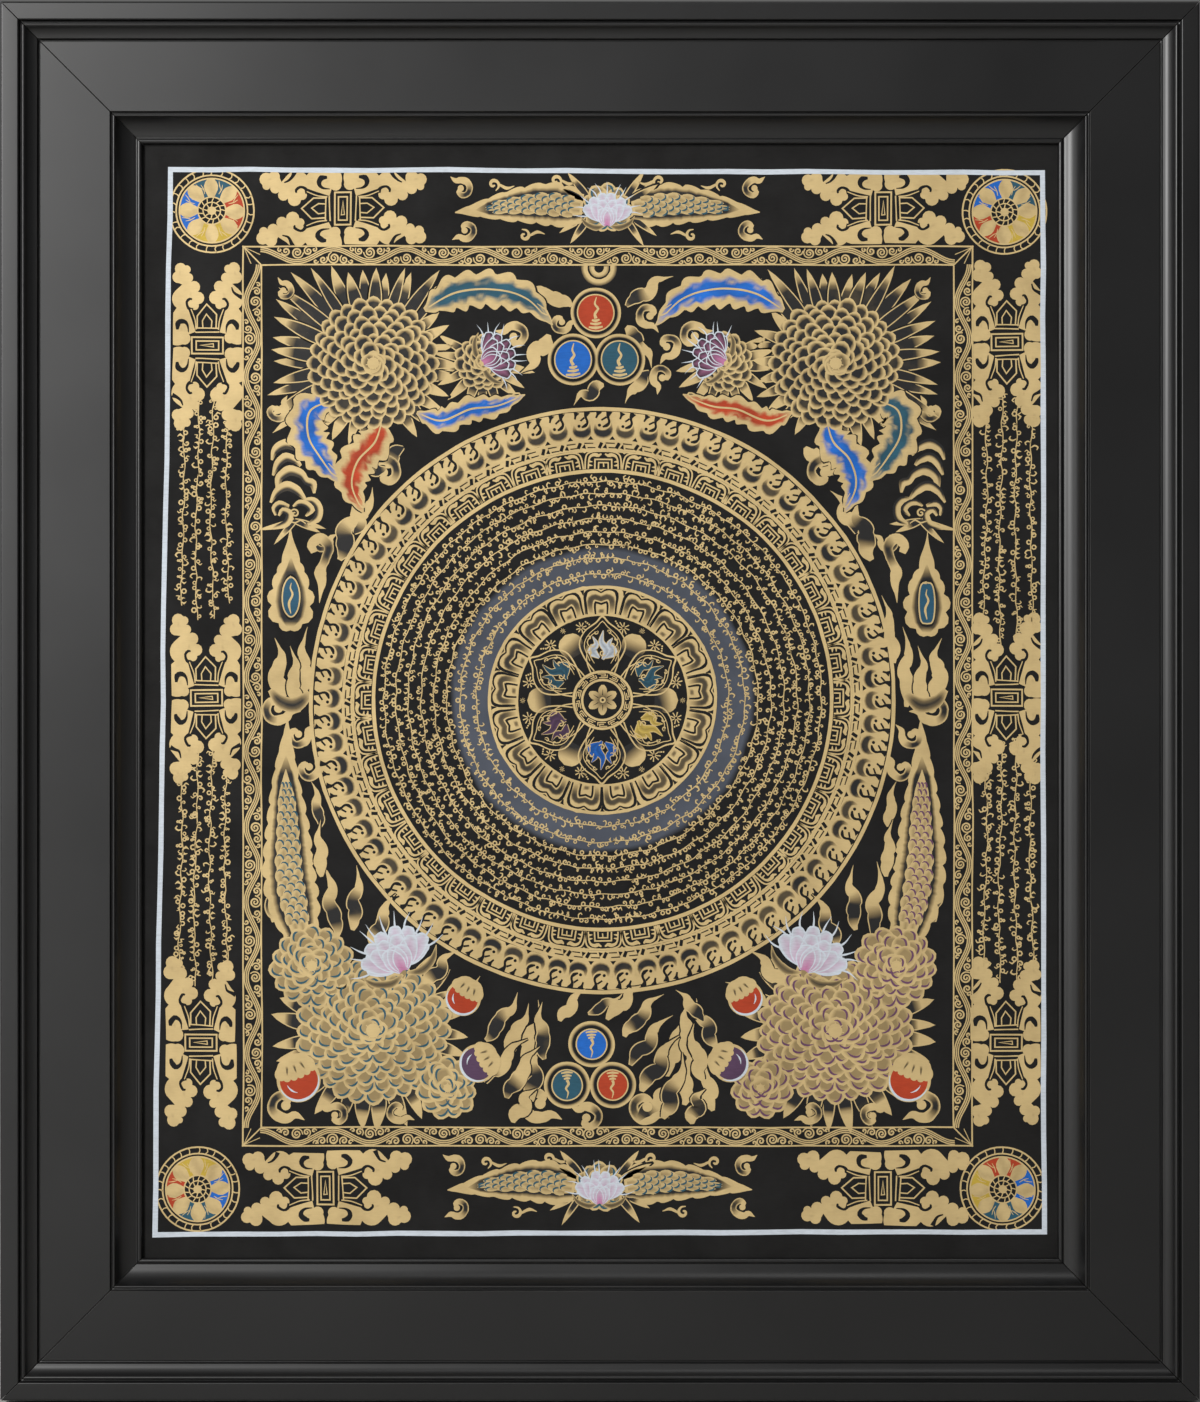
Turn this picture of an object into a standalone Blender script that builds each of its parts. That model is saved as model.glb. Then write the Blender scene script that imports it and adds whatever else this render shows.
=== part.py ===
"""Thangka painting in a picture frame: a painted cloth held flat in a wide black moulding.

Metres, +Z up. The front faces -Y and the back lies in the plane Y = 0, against the wall.
The origin is the middle of the top rail's back, where the frame hangs.
"""
import math

import bmesh
import bpy
from mathutils import Vector

MM = 0.001

# Driving dimensions
SIGHT_WIDTH = 480 * MM        # the opening that the front of the frame leaves
SIGHT_HEIGHT = 584 * MM
RAIL_WIDTH = 72 * MM          # the moulding, from its outer edge to the sight edge
FRAME_DEPTH = 30 * MM         # from the wall to the outer band, which stands highest
CLOTH_THICKNESS = 2 * MM      # cotton cloth with its ground and paint
CLOTH_FRONT = 12.3 * MM       # height of the painted face above the wall
CLOTH_TUCK = 5 * MM           # how far the cloth's edge runs into the rails
GAP = 0.3 * MM                # between neighbouring pieces

OUTER_WIDTH = SIGHT_WIDTH + 2 * RAIL_WIDTH
OUTER_HEIGHT = SIGHT_HEIGHT + 2 * RAIL_WIDTH
TOP_EDGE = RAIL_WIDTH / 2
CENTRE_Z = TOP_EDGE - OUTER_HEIGHT / 2

# The moulding's members, as (inward from the outer edge, forward from the wall)
OUTER_ROUND = 1.2 * MM        # the outer band's outer edge
OUTER_BAND_END = 9.6 * MM
BAND_SHOULDER = 0.8 * MM      # the outer band's inner edge
FIRST_QUIRK = (11.0 * MM, 27.4 * MM)
CREST_ROUND = 0.9 * MM        # the crest between the first quirk and the outer cove
CREST_TOP = 29.4 * MM
OUTER_COVE = ((12.7 * MM, 29.0 * MM), (18.5 * MM, 24.7 * MM))
SECOND_QUIRK = (19.9 * MM, 22.8 * MM)
PANEL_LEVEL = 24.0 * MM
PANEL_END = 56.4 * MM
THIRD_QUIRK = (57.6 * MM, 22.4 * MM)
BEAD_RADIUS = 0.7 * MM
BEAD_CENTRE = (58.3 * MM, 23.1 * MM)
INNER_COVE = ((59.2 * MM, 22.5 * MM), (68.6 * MM, 15.1 * MM))
LIP_RADIUS = 1.4 * MM
LIP_CENTRE = (70.6 * MM, 14.7 * MM)
COVE_HOLLOW = 0.13            # a cove's depth as a share of its chord
COVE_STEPS = 10
EDGE_ROUND = 0.25 * MM        # the panel's arrises
SMOOTH_ANGLE = 35             # degrees; sharper edges than this stay crisp

# name, length, distance of the outer edge from the middle, turn in degrees about Y
RAILS = [
    ("rail_bottom", OUTER_WIDTH, OUTER_HEIGHT / 2, 0),
    ("rail_left", OUTER_HEIGHT, OUTER_WIDTH / 2, 90),
    ("rail_top", OUTER_WIDTH, OUTER_HEIGHT / 2, 180),
    ("rail_right", OUTER_HEIGHT, OUTER_WIDTH / 2, 270),
]

FRAME_COLOUR = (0.012, 0.012, 0.013, 1)
CLOTH_COLOUR = (0.010, 0.010, 0.011, 1)


def arc(centre, radius, start, end, steps):
    """Points round a centre from one angle to another, in degrees."""
    angles = [math.radians(start + (end - start) * i / steps) for i in range(steps + 1)]
    return [(centre[0] + radius * math.cos(a), centre[1] + radius * math.sin(a)) for a in angles]


def cove(ends):
    """A hollow between two points, sunk into the wood."""
    start, end = Vector(ends[0]), Vector(ends[1])
    chord = end - start
    into_wood = Vector((chord.y, -chord.x)).normalized()
    depth = COVE_HOLLOW * chord.length
    points = []
    for i in range(COVE_STEPS + 1):
        t = i / COVE_STEPS
        points.append(tuple(start + chord * t + into_wood * depth * 4 * t * (1 - t)))
    return points


def moulding_profile():
    """The moulding's section: from the outer edge of its back, over the front, to the sight edge."""
    points = [(0, 0)]
    points += arc((OUTER_ROUND, FRAME_DEPTH - OUTER_ROUND), OUTER_ROUND, 180, 90, 4)
    shoulder = (OUTER_BAND_END - BAND_SHOULDER, FRAME_DEPTH - BAND_SHOULDER)
    points += arc(shoulder, BAND_SHOULDER, 90, 0, 4)
    points += [(OUTER_BAND_END, FIRST_QUIRK[1]), FIRST_QUIRK]
    crest = (FIRST_QUIRK[0] + CREST_ROUND, CREST_TOP - CREST_ROUND)
    points += arc(crest, CREST_ROUND, 180, 80, 4)
    points += cove(OUTER_COVE)
    points += [(OUTER_COVE[1][0], SECOND_QUIRK[1]), SECOND_QUIRK]
    points += arc((SECOND_QUIRK[0] + EDGE_ROUND, PANEL_LEVEL - EDGE_ROUND), EDGE_ROUND, 180, 90, 2)
    points += arc((PANEL_END - EDGE_ROUND, PANEL_LEVEL - EDGE_ROUND), EDGE_ROUND, 90, 0, 2)
    points += [(PANEL_END, THIRD_QUIRK[1]), THIRD_QUIRK]
    points += arc(BEAD_CENTRE, BEAD_RADIUS, 180, 0, 6)
    points += cove(INNER_COVE)
    points += arc(LIP_CENTRE, LIP_RADIUS, 180, 0, 8)
    groove_front = CLOTH_FRONT + GAP
    groove_back = CLOTH_FRONT - CLOTH_THICKNESS - GAP
    groove_floor = RAIL_WIDTH - CLOTH_TUCK - GAP
    points += [(RAIL_WIDTH, groove_front), (groove_floor, groove_front)]
    points += [(groove_floor, groove_back), (RAIL_WIDTH, groove_back), (RAIL_WIDTH, 0)]
    return points


def black_lacquer():
    material = bpy.data.materials.new("black_lacquer")
    material.use_nodes = True
    shader = material.node_tree.nodes["Principled BSDF"]
    shader.inputs["Base Color"].default_value = FRAME_COLOUR
    shader.inputs["Roughness"].default_value = 0.42
    return material


def painted_cotton():
    material = bpy.data.materials.new("painted_cotton")
    material.use_nodes = True
    shader = material.node_tree.nodes["Principled BSDF"]
    shader.inputs["Base Color"].default_value = CLOTH_COLOUR
    shader.inputs["Roughness"].default_value = 0.85
    return material


def add_piece(name, bm, material, collection):
    """Turns a bmesh into a named object of the painting."""
    bmesh.ops.recalc_face_normals(bm, faces=bm.faces)
    mesh = bpy.data.meshes.new(name)
    bm.to_mesh(mesh)
    bm.free()
    mesh.materials.append(material)
    piece = bpy.data.objects.new(name, mesh)
    collection.objects.link(piece)
    return piece


def saw_mitre(bm, side, half_length):
    """Cuts one end of a run of moulding at 45 degrees; side is -1 or 1."""
    inset = GAP / math.sqrt(2)
    corner = Vector((side * (half_length - inset), 0, 0))
    cut_normal = Vector((side, 0, 1)).normalized()
    geometry = bm.verts[:] + bm.edges[:] + bm.faces[:]
    cut = bmesh.ops.bisect_plane(
        bm, geom=geometry, plane_co=corner, plane_no=cut_normal, clear_outer=True)
    rim = [e for e in cut["geom_cut"] if isinstance(e, bmesh.types.BMEdge)]
    bmesh.ops.edgeloop_fill(bm, edges=rim)


def add_rail(name, length, reach, turn, material, collection):
    """One length of moulding, drawn along X with its inner side towards +Z, then turned to its side.

    reach is how far its outer edge lies from the middle of the opening.
    """
    bm = bmesh.new()
    overrun = RAIL_WIDTH
    start = -length / 2 - overrun
    outline = [bm.verts.new((start, -forward, inward)) for inward, forward in moulding_profile()]
    section = bm.faces.new(outline)
    run = bmesh.ops.extrude_face_region(bm, geom=[section])
    moved = [v for v in run["geom"] if isinstance(v, bmesh.types.BMVert)]
    bmesh.ops.translate(bm, verts=moved, vec=(length + 2 * overrun, 0, 0))
    for side in (-1, 1):
        saw_mitre(bm, side, length / 2)
    rail = add_piece(name, bm, material, collection)
    rail.data.shade_smooth()
    rail.data.set_sharp_from_angle(angle=math.radians(SMOOTH_ANGLE))
    angle = math.radians(turn)
    rail.rotation_euler = (0, angle, 0)
    rail.location = (-reach * math.sin(angle), 0, CENTRE_Z - reach * math.cos(angle))
    return rail


def add_cloth(material, collection):
    """The cloth, a flat sheet whose edges run into the groove of the rails."""
    bm = bmesh.new()
    bmesh.ops.create_cube(bm, size=1)
    size = (SIGHT_WIDTH + 2 * CLOTH_TUCK, CLOTH_THICKNESS, SIGHT_HEIGHT + 2 * CLOTH_TUCK)
    bmesh.ops.scale(bm, verts=bm.verts, vec=size)
    cloth = add_piece("thangka_cloth", bm, material, collection)
    cloth.location = (0, CLOTH_THICKNESS / 2 - CLOTH_FRONT, CENTRE_Z)
    return cloth


def build():
    for old in list(bpy.data.objects):
        bpy.data.objects.remove(old)
    painting = bpy.data.collections.new("framed_thangka_painting")
    bpy.context.scene.collection.children.link(painting)
    lacquer = black_lacquer()
    for name, length, reach, turn in RAILS:
        add_rail(name, length, reach, turn, lacquer, painting)
    add_cloth(painted_cotton(), painting)


build()
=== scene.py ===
"""Looks of a thangka painting in its picture frame: the lacquered moulding, the cloth, and the paint.

The paint is drawn in millimetres on the cloth's face, x to the right and z up from the middle of the
opening. Each mark of the brush is a thin closed film that lies on the cloth or on the paint below it.
"""
import math
import random

import bmesh
import bpy
import numpy as np
from mathutils import Matrix, Vector, noise


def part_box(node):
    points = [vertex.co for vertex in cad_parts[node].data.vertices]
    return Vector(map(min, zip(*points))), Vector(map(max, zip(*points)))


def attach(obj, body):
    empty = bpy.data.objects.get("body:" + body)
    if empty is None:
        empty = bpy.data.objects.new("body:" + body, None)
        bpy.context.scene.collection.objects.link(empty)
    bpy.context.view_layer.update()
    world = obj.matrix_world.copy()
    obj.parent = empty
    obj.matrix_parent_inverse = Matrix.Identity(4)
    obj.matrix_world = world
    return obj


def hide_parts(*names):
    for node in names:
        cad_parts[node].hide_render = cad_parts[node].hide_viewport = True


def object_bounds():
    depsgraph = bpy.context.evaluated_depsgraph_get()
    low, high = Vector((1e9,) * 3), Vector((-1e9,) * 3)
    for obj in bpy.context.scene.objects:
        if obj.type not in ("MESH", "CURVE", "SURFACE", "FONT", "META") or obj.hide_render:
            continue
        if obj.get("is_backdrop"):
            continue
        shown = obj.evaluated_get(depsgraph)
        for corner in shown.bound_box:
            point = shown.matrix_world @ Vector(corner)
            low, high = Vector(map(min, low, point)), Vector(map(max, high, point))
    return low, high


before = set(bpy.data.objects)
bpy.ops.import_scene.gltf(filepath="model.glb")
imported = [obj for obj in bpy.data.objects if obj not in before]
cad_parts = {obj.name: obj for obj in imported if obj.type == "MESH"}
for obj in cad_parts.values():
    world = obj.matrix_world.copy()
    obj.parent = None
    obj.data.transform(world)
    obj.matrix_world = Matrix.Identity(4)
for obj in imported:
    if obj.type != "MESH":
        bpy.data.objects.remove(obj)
cad_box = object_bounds()
noise.seed_set(8)             # noise vectors follow the clock unless they are given a seed

MM = 0.001
CLOTH_LOW, CLOTH_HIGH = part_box("thangka_cloth")
CLOTH_FRONT = CLOTH_LOW.y
PICTURE = (CLOTH_LOW + CLOTH_HIGH) / 2
X_AXIS, Z_AXIS = 0, 2
# the rails, and the axis along which each one's grain runs
GRAIN_AXES = {"rail_top": X_AXIS, "rail_bottom": X_AXIS, "rail_left": Z_AXIS, "rail_right": Z_AXIS}

# Heights of the paint above the cloth's face, in mm: the order in which it is painted
FIELD, SHADE, COLOUR, CUT, LINE, LIGHT = 0.05, 0.08, 0.11, 0.14, 0.17, 0.20
HAIR = 0.0015                 # each mark lies this much above the one before
COAT = 0.012                  # a motif's edge or shading lies this much under or over the motif
PETAL_STEP = 0.034            # each ring of a bloom's petals lies this much above the ring outside it
PLUME = 0.106                 # long painted leaves
BLOOM_FOOT = 0.135            # a bloom's outermost petals
SMALL_BLOOM_FOOT = 0.20       # those of a bloom that lies over another
JEWEL = 0.155                 # jewels lie over the flames and leaves
FILM = 0.50                   # thickness of a film, whose back sinks into the cloth

BLACK_EDGE = 1.4              # the black under a stroke is this much wider than the stroke, in mm

# Paint colours, linear
GOLD = (0.575, 0.428, 0.200)
GOLD_DEEP = (0.440, 0.310, 0.130)
INK = (0.0085, 0.0082, 0.0080)
BLUE = (0.008, 0.115, 0.470)
TEAL = (0.018, 0.082, 0.125)
RED = (0.400, 0.044, 0.012)
YELLOW = (0.560, 0.400, 0.085)
PURPLE = (0.085, 0.042, 0.090)
PINK = (0.480, 0.170, 0.330)
WHITE = (0.540, 0.590, 0.650)
SLATE = (0.062, 0.070, 0.090)
TEAL_LIGHT = (0.016, 0.080, 0.138)
TEAL_LINE = (0.020, 0.090, 0.130)
PURPLE_LINE = (0.130, 0.050, 0.110)
YELLOW_SOFT = (0.500, 0.350, 0.045)
BARE_COTTON = (0.42, 0.37, 0.29)
LACQUER = (0.0045, 0.0045, 0.0047)
RUBBED_LACQUER = (0.040, 0.038, 0.035)
PAINT_SHADE = (0.25, 0.22, 0.18)    # what blotches and streaks are darkened with

THREAD = 0.62 * MM            # from one thread of the cloth to the next but one
PAINT_TOOTH = 0.02 * MM       # how deep the brush marks are
CLOTH_TOOTH = 0.04 * MM
LACQUER_TOOTH = 0.0016 * MM


# ---------------------------------------------------------------- materials

def put(tree, kind, **sockets):
    """Adds a node; names in sockets are its input sockets or its own settings."""
    made = tree.nodes.new(kind)
    for name, value in sockets.items():
        socket = made.inputs.get(name.replace("_", " "))
        if isinstance(value, bpy.types.NodeSocket):
            tree.links.new(value, socket)
        elif socket is not None:
            socket.default_value = value
        else:
            setattr(made, name, value)
    return made


def maths(tree, operation, first, second=0.0):
    made = tree.nodes.new("ShaderNodeMath")
    made.operation = operation
    for socket, value in zip(made.inputs, (first, second)):
        if isinstance(value, bpy.types.NodeSocket):
            tree.links.new(value, socket)
        else:
            socket.default_value = value
    return made.outputs[0]


def blend_colours(tree, factor, first, second, way="MIX"):
    made = tree.nodes.new("ShaderNodeMix")
    made.data_type = "RGBA"
    made.blend_type = way
    for name, value in (("Factor_Float", factor), ("A_Color", first), ("B_Color", second)):
        socket = next(s for s in made.inputs if s.identifier == name)
        if isinstance(value, bpy.types.NodeSocket):
            tree.links.new(value, socket)
        else:
            socket.default_value = value if isinstance(value, float) else (*value, 1)
    return next(s for s in made.outputs if s.identifier == "Result_Color")


def ranged(tree, value, low, high, to_low, to_high):
    """A value from low to high, turned into one from to_low to to_high."""
    made = put(tree, "ShaderNodeMapRange", Value=value)
    made.inputs["From Min"].default_value = low
    made.inputs["From Max"].default_value = high
    made.inputs["To Min"].default_value = to_low
    made.inputs["To Max"].default_value = to_high
    return made.outputs["Result"]


def brushed_on_cloth():
    """Node group: how paint lies on woven cotton. It varies a colour and gives a height and a mask."""
    group = bpy.data.node_groups.new("brushed_on_cloth", "ShaderNodeTree")
    face = group.interface
    face.new_socket("Colour", in_out="INPUT", socket_type="NodeSocketColor")
    face.new_socket("Blotches", in_out="INPUT", socket_type="NodeSocketFloat")
    face.new_socket("Streaks", in_out="INPUT", socket_type="NodeSocketFloat")
    face.new_socket("Colour", in_out="OUTPUT", socket_type="NodeSocketColor")
    face.new_socket("Height", in_out="OUTPUT", socket_type="NodeSocketFloat")
    face.new_socket("Mask", in_out="OUTPUT", socket_type="NodeSocketFloat")
    given = group.nodes.new("NodeGroupInput")
    result = group.nodes.new("NodeGroupOutput")
    place = group.nodes.new("ShaderNodeTexCoord").outputs["Object"]
    blotch = put(group, "ShaderNodeTexNoise", Vector=place, Scale=45.0, Detail=4.0, Roughness=0.6)
    turned = put(group, "ShaderNodeMapping", Vector=place, Rotation=(0, 0.6, 0), Scale=(1, 1, 5))
    streak = put(group, "ShaderNodeTexNoise", Vector=turned.outputs[0], Scale=260.0, Detail=3.0)
    dark_blotch = ranged(group, blotch.outputs["Fac"], 0.35, 0.7, 0.0, 1.0)
    dark_streak = ranged(group, streak.outputs["Fac"], 0.4, 0.75, 0.0, 1.0)
    darker = maths(group, "MULTIPLY", dark_blotch, given.outputs["Blotches"])
    streaked = maths(group, "MULTIPLY", dark_streak, given.outputs["Streaks"])
    amount = maths(group, "ADD", darker, streaked)
    toned = blend_colours(group, amount, given.outputs["Colour"], PAINT_SHADE, "MULTIPLY")
    group.links.new(toned, result.inputs["Colour"])
    axes = put(group, "ShaderNodeSeparateXYZ", Vector=place)
    thread = 2 * math.pi / THREAD
    warp = maths(group, "SINE", maths(group, "MULTIPLY", axes.outputs["X"], thread))
    weft = maths(group, "SINE", maths(group, "MULTIPLY", axes.outputs["Z"], thread))
    weave = maths(group, "MULTIPLY", warp, weft)
    rough = maths(group, "ADD", maths(group, "MULTIPLY", weave, 0.25), streak.outputs["Fac"])
    group.links.new(rough, result.inputs["Height"])
    group.links.new(blotch.outputs["Fac"], result.inputs["Mask"])
    return group


BRUSHED = brushed_on_cloth()


def new_material(name):
    material = bpy.data.materials.new(name)
    material.use_nodes = True
    tree = material.node_tree
    return material, tree, tree.nodes["Principled BSDF"]


def brushed(tree, colour, blotches, streaks):
    """Places the shared group with its own values, and returns its outputs."""
    made = tree.nodes.new("ShaderNodeGroup")
    made.node_tree = BRUSHED
    if isinstance(colour, bpy.types.NodeSocket):
        tree.links.new(colour, made.inputs["Colour"])
    else:
        made.inputs["Colour"].default_value = (*colour, 1)
    made.inputs["Blotches"].default_value = blotches
    made.inputs["Streaks"].default_value = streaks
    return made.outputs


def bump(tree, shader, height, depth):
    made = put(tree, "ShaderNodeBump", Height=height, Strength=1.0, Distance=depth)
    tree.links.new(made.outputs["Normal"], shader.inputs["Normal"])


def gold_paint():
    """Matt gold paint; the attribute wash is 0 on plain gold and 1 where it is shaded to black."""
    material, tree, shader = new_material("gold_paint")
    wash = put(tree, "ShaderNodeAttribute", attribute_name="wash").outputs["Fac"]
    gold = brushed(tree, GOLD, 0.26, 0.07)
    ragged = maths(tree, "MULTIPLY", gold["Mask"], 0.5)
    inked = maths(tree, "MULTIPLY", wash, maths(tree, "ADD", ragged, 0.78))
    warm = blend_colours(tree, maths(tree, "MINIMUM", maths(tree, "MULTIPLY", inked, 1.6), 1.0),
                         gold["Colour"], GOLD_DEEP)
    shaded = blend_colours(tree, maths(tree, "MINIMUM", inked, 1.0), warm, INK)
    tree.links.new(shaded, shader.inputs["Base Color"])
    tree.links.new(ranged(tree, inked, 0.0, 1.0, 0.18, 0.0), shader.inputs["Metallic"])
    tree.links.new(ranged(tree, gold["Mask"], 0.3, 0.7, 0.50, 0.66), shader.inputs["Roughness"])
    shader.inputs["Specular IOR Level"].default_value = 0.3
    bump(tree, shader, gold["Height"], PAINT_TOOTH)
    return material


def colour_paint():
    """Gouache; the attribute pigment holds its colour, and in its alpha how far it is gilt."""
    material, tree, shader = new_material("colour_paint")
    pigment = put(tree, "ShaderNodeAttribute", attribute_name="pigment")
    paint = brushed(tree, pigment.outputs["Color"], 0.22, 0.20)
    tree.links.new(paint["Colour"], shader.inputs["Base Color"])
    gilt = maths(tree, "MULTIPLY", pigment.outputs["Alpha"], 0.18)
    tree.links.new(gilt, shader.inputs["Metallic"])
    tree.links.new(ranged(tree, paint["Mask"], 0.3, 0.7, 0.55, 0.75), shader.inputs["Roughness"])
    shader.inputs["Specular IOR Level"].default_value = 0.25
    bump(tree, shader, paint["Height"], PAINT_TOOTH)
    return material


def flat_paint(name, colour, blotches, streaks, roughness):
    """One plain paint: the pale line, or the black that cuts shapes out of the gold."""
    material, tree, shader = new_material(name)
    paint = brushed(tree, colour, blotches, streaks)
    tree.links.new(paint["Colour"], shader.inputs["Base Color"])
    spread = ranged(tree, paint["Mask"], 0.3, 0.7, roughness - 0.05, roughness + 0.05)
    tree.links.new(spread, shader.inputs["Roughness"])
    shader.inputs["Specular IOR Level"].default_value = 0.2
    bump(tree, shader, paint["Height"], PAINT_TOOTH)
    return material


def painted_cotton():
    """The cloth: a black ground with a slate disc in front, bare cotton behind."""
    material, tree, shader = new_material("painted_cotton")
    place = tree.nodes.new("ShaderNodeTexCoord")
    ground = brushed(tree, INK, 0.25, 0.25)
    centred = put(tree, "ShaderNodeVectorMath", operation="SUBTRACT")
    tree.links.new(place.outputs["Object"], centred.inputs[0])
    centred.inputs[1].default_value = (PICTURE.x + MANDALA[0] * MM, CLOTH_FRONT,
                                       PICTURE.z + MANDALA[1] * MM)
    far = put(tree, "ShaderNodeVectorMath", operation="LENGTH")
    tree.links.new(centred.outputs[0], far.inputs[0])
    cloudy = put(tree, "ShaderNodeTexNoise", Vector=place.outputs["Object"], Scale=38.0, Detail=5.0)
    edge = maths(tree, "ADD", far.outputs["Value"],
                 ranged(tree, cloudy.outputs["Fac"], 0.3, 0.7, -1.2 * MM, 1.2 * MM))
    outside = ranged(tree, edge, (SLATE_RADIUS - 1.5) * MM, (SLATE_RADIUS + 1.5) * MM, 1.0, 0.0)
    inside = ranged(tree, far.outputs["Value"], SLATE_HOLE * MM, (SLATE_HOLE + 1) * MM, 0.0, 1.0)
    disc = maths(tree, "MULTIPLY", outside, inside)
    milky = ranged(tree, cloudy.outputs["Fac"], 0.3, 0.75, 0.82, 1.25)
    slate = put(tree, "ShaderNodeVectorMath", operation="SCALE", Scale=milky)
    slate.inputs[0].default_value = SLATE
    front = blend_colours(tree, disc, ground["Colour"], slate.outputs["Vector"])
    axes = put(tree, "ShaderNodeSeparateXYZ", Vector=place.outputs["Normal"])
    behind = ranged(tree, axes.outputs["Y"], 0.4, 0.6, 0.0, 1.0)
    cotton = brushed(tree, BARE_COTTON, 0.25, 0.15)
    tree.links.new(blend_colours(tree, behind, front, cotton["Colour"]), shader.inputs["Base Color"])
    tree.links.new(ranged(tree, ground["Mask"], 0.3, 0.7, 0.72, 0.86), shader.inputs["Roughness"])
    shader.inputs["Specular IOR Level"].default_value = 0.2
    bump(tree, shader, ground["Height"], CLOTH_TOOTH)
    return material


def black_lacquer(name, grain_axis):
    """Satin black lacquer on wood: nearly level, with a faint grain and arrises rubbed a little."""
    material, tree, shader = new_material(name)
    place = tree.nodes.new("ShaderNodeTexCoord").outputs["Object"]
    stretch = [60.0, 60.0, 60.0]
    stretch[grain_axis] = 2.5
    along = put(tree, "ShaderNodeMapping", Vector=place, Scale=stretch)
    grain = put(tree, "ShaderNodeTexNoise", Vector=along.outputs[0], Scale=9.0, Detail=5.0)
    cloudy = put(tree, "ShaderNodeTexNoise", Vector=place, Scale=11.0, Detail=3.0)
    peel = put(tree, "ShaderNodeTexNoise", Vector=place, Scale=420.0, Detail=2.0)
    rubbed = put(tree, "ShaderNodeAttribute", attribute_name="rubbed").outputs["Fac"]
    worn = maths(tree, "MULTIPLY", rubbed, ranged(tree, grain.outputs["Fac"], 0.45, 0.7, 0.1, 0.9))
    body = blend_colours(tree, ranged(tree, cloudy.outputs["Fac"], 0.3, 0.7, 0.0, 1.0),
                         LACQUER, tuple(1.3 * c for c in LACQUER))
    colour = blend_colours(tree, worn, body, RUBBED_LACQUER)
    tree.links.new(colour, shader.inputs["Base Color"])
    satin = ranged(tree, cloudy.outputs["Fac"], 0.3, 0.7, 0.34, 0.38)
    tree.links.new(maths(tree, "SUBTRACT", satin, maths(tree, "MULTIPLY", rubbed, 0.06)),
                   shader.inputs["Roughness"])
    surface = maths(tree, "ADD", maths(tree, "MULTIPLY", grain.outputs["Fac"], 0.35),
                    maths(tree, "MULTIPLY", peel.outputs["Fac"], 0.65))
    bump(tree, shader, surface, LACQUER_TOOTH)
    return material


# ---------------------------------------------------------------- frame and cloth

MERGE = 0.005 * MM
LEVEL_ANGLE = 0.4             # degrees; flatter joints between a rail's faces are dissolved
ARRIS_ANGLE = 38              # sharper convex edges are arrises
EASING = 0.16 * MM
CRISP_ANGLE = 50


def lacquered_rail(name, material):
    """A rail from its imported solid, with its arrises eased and marked as rubbed."""
    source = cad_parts[name].data
    bm = bmesh.new()
    bm.from_mesh(source)
    bmesh.ops.remove_doubles(bm, verts=bm.verts, dist=MERGE)
    bmesh.ops.dissolve_limit(bm, angle_limit=math.radians(LEVEL_ANGLE), verts=bm.verts, edges=bm.edges)
    arrises = [e for e in bm.edges if e.is_manifold and e.is_convex
               and e.calc_face_angle() > math.radians(ARRIS_ANGLE)]
    rubbed = bm.faces.layers.float.new("rubbed")
    eased = bmesh.ops.bevel(bm, geom=arrises, offset=EASING, offset_type="OFFSET", segments=2,
                            profile=0.5, affect="EDGES", clamp_overlap=True, material=-1)
    for face in eased["faces"]:
        face[rubbed] = 1.0
    rail = finished_piece("lacquered_" + name, bm, material, "black_frame", name)
    rail.data.shade_smooth()
    rail.data.set_sharp_from_angle(angle=math.radians(CRISP_ANGLE))
    flatten = rail.modifiers.new("level_faces", "WEIGHTED_NORMAL")
    flatten.weight = 100
    flatten.keep_sharp = True
    return rail


def finished_piece(name, bm, material, slot, *nodes):
    """Makes a bmesh in world metres a piece of the part, riding on its one body."""
    mesh = bpy.data.meshes.new(name)
    bm.to_mesh(mesh)
    bm.free()
    mesh.materials.append(material)
    piece = bpy.data.objects.new(name, mesh)
    bpy.context.scene.collection.objects.link(piece)
    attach(piece, "root")
    if nodes:
        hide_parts(*nodes)
    return piece


def stretched_cloth(material):
    """The cloth as one thin sheet, with a fine grid on both faces."""
    size = CLOTH_HIGH - CLOTH_LOW
    bm = bmesh.new()
    bmesh.ops.create_grid(bm, x_segments=40, y_segments=48, size=0.5)
    bmesh.ops.transform(bm, verts=bm.verts, matrix=Matrix.Rotation(math.pi / 2, 4, "X"))
    bmesh.ops.scale(bm, verts=bm.verts, vec=(size.x, 1, size.z))
    bmesh.ops.translate(bm, verts=bm.verts, vec=(PICTURE.x, CLOTH_LOW.y, PICTURE.z))
    skin = bmesh.ops.extrude_face_region(bm, geom=bm.faces[:], use_keep_orig=True)
    back = [v for v in skin["geom"] if isinstance(v, bmesh.types.BMVert)]
    bmesh.ops.translate(bm, verts=back, vec=(0, size.y, 0))
    bmesh.ops.recalc_face_normals(bm, faces=bm.faces)
    return finished_piece("stretched_cloth", bm, material, "painted_cloth", "thangka_cloth")


# ---------------------------------------------------------------- brush and paint

# how a hand strays from the drawing: the length of each wave, its layer of noise, and how far, in mm
SWAYS = ((46, 3.1, 0.55), (9, 7.7, 0.16))
PEN_FULL = 500                # vertices


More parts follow.
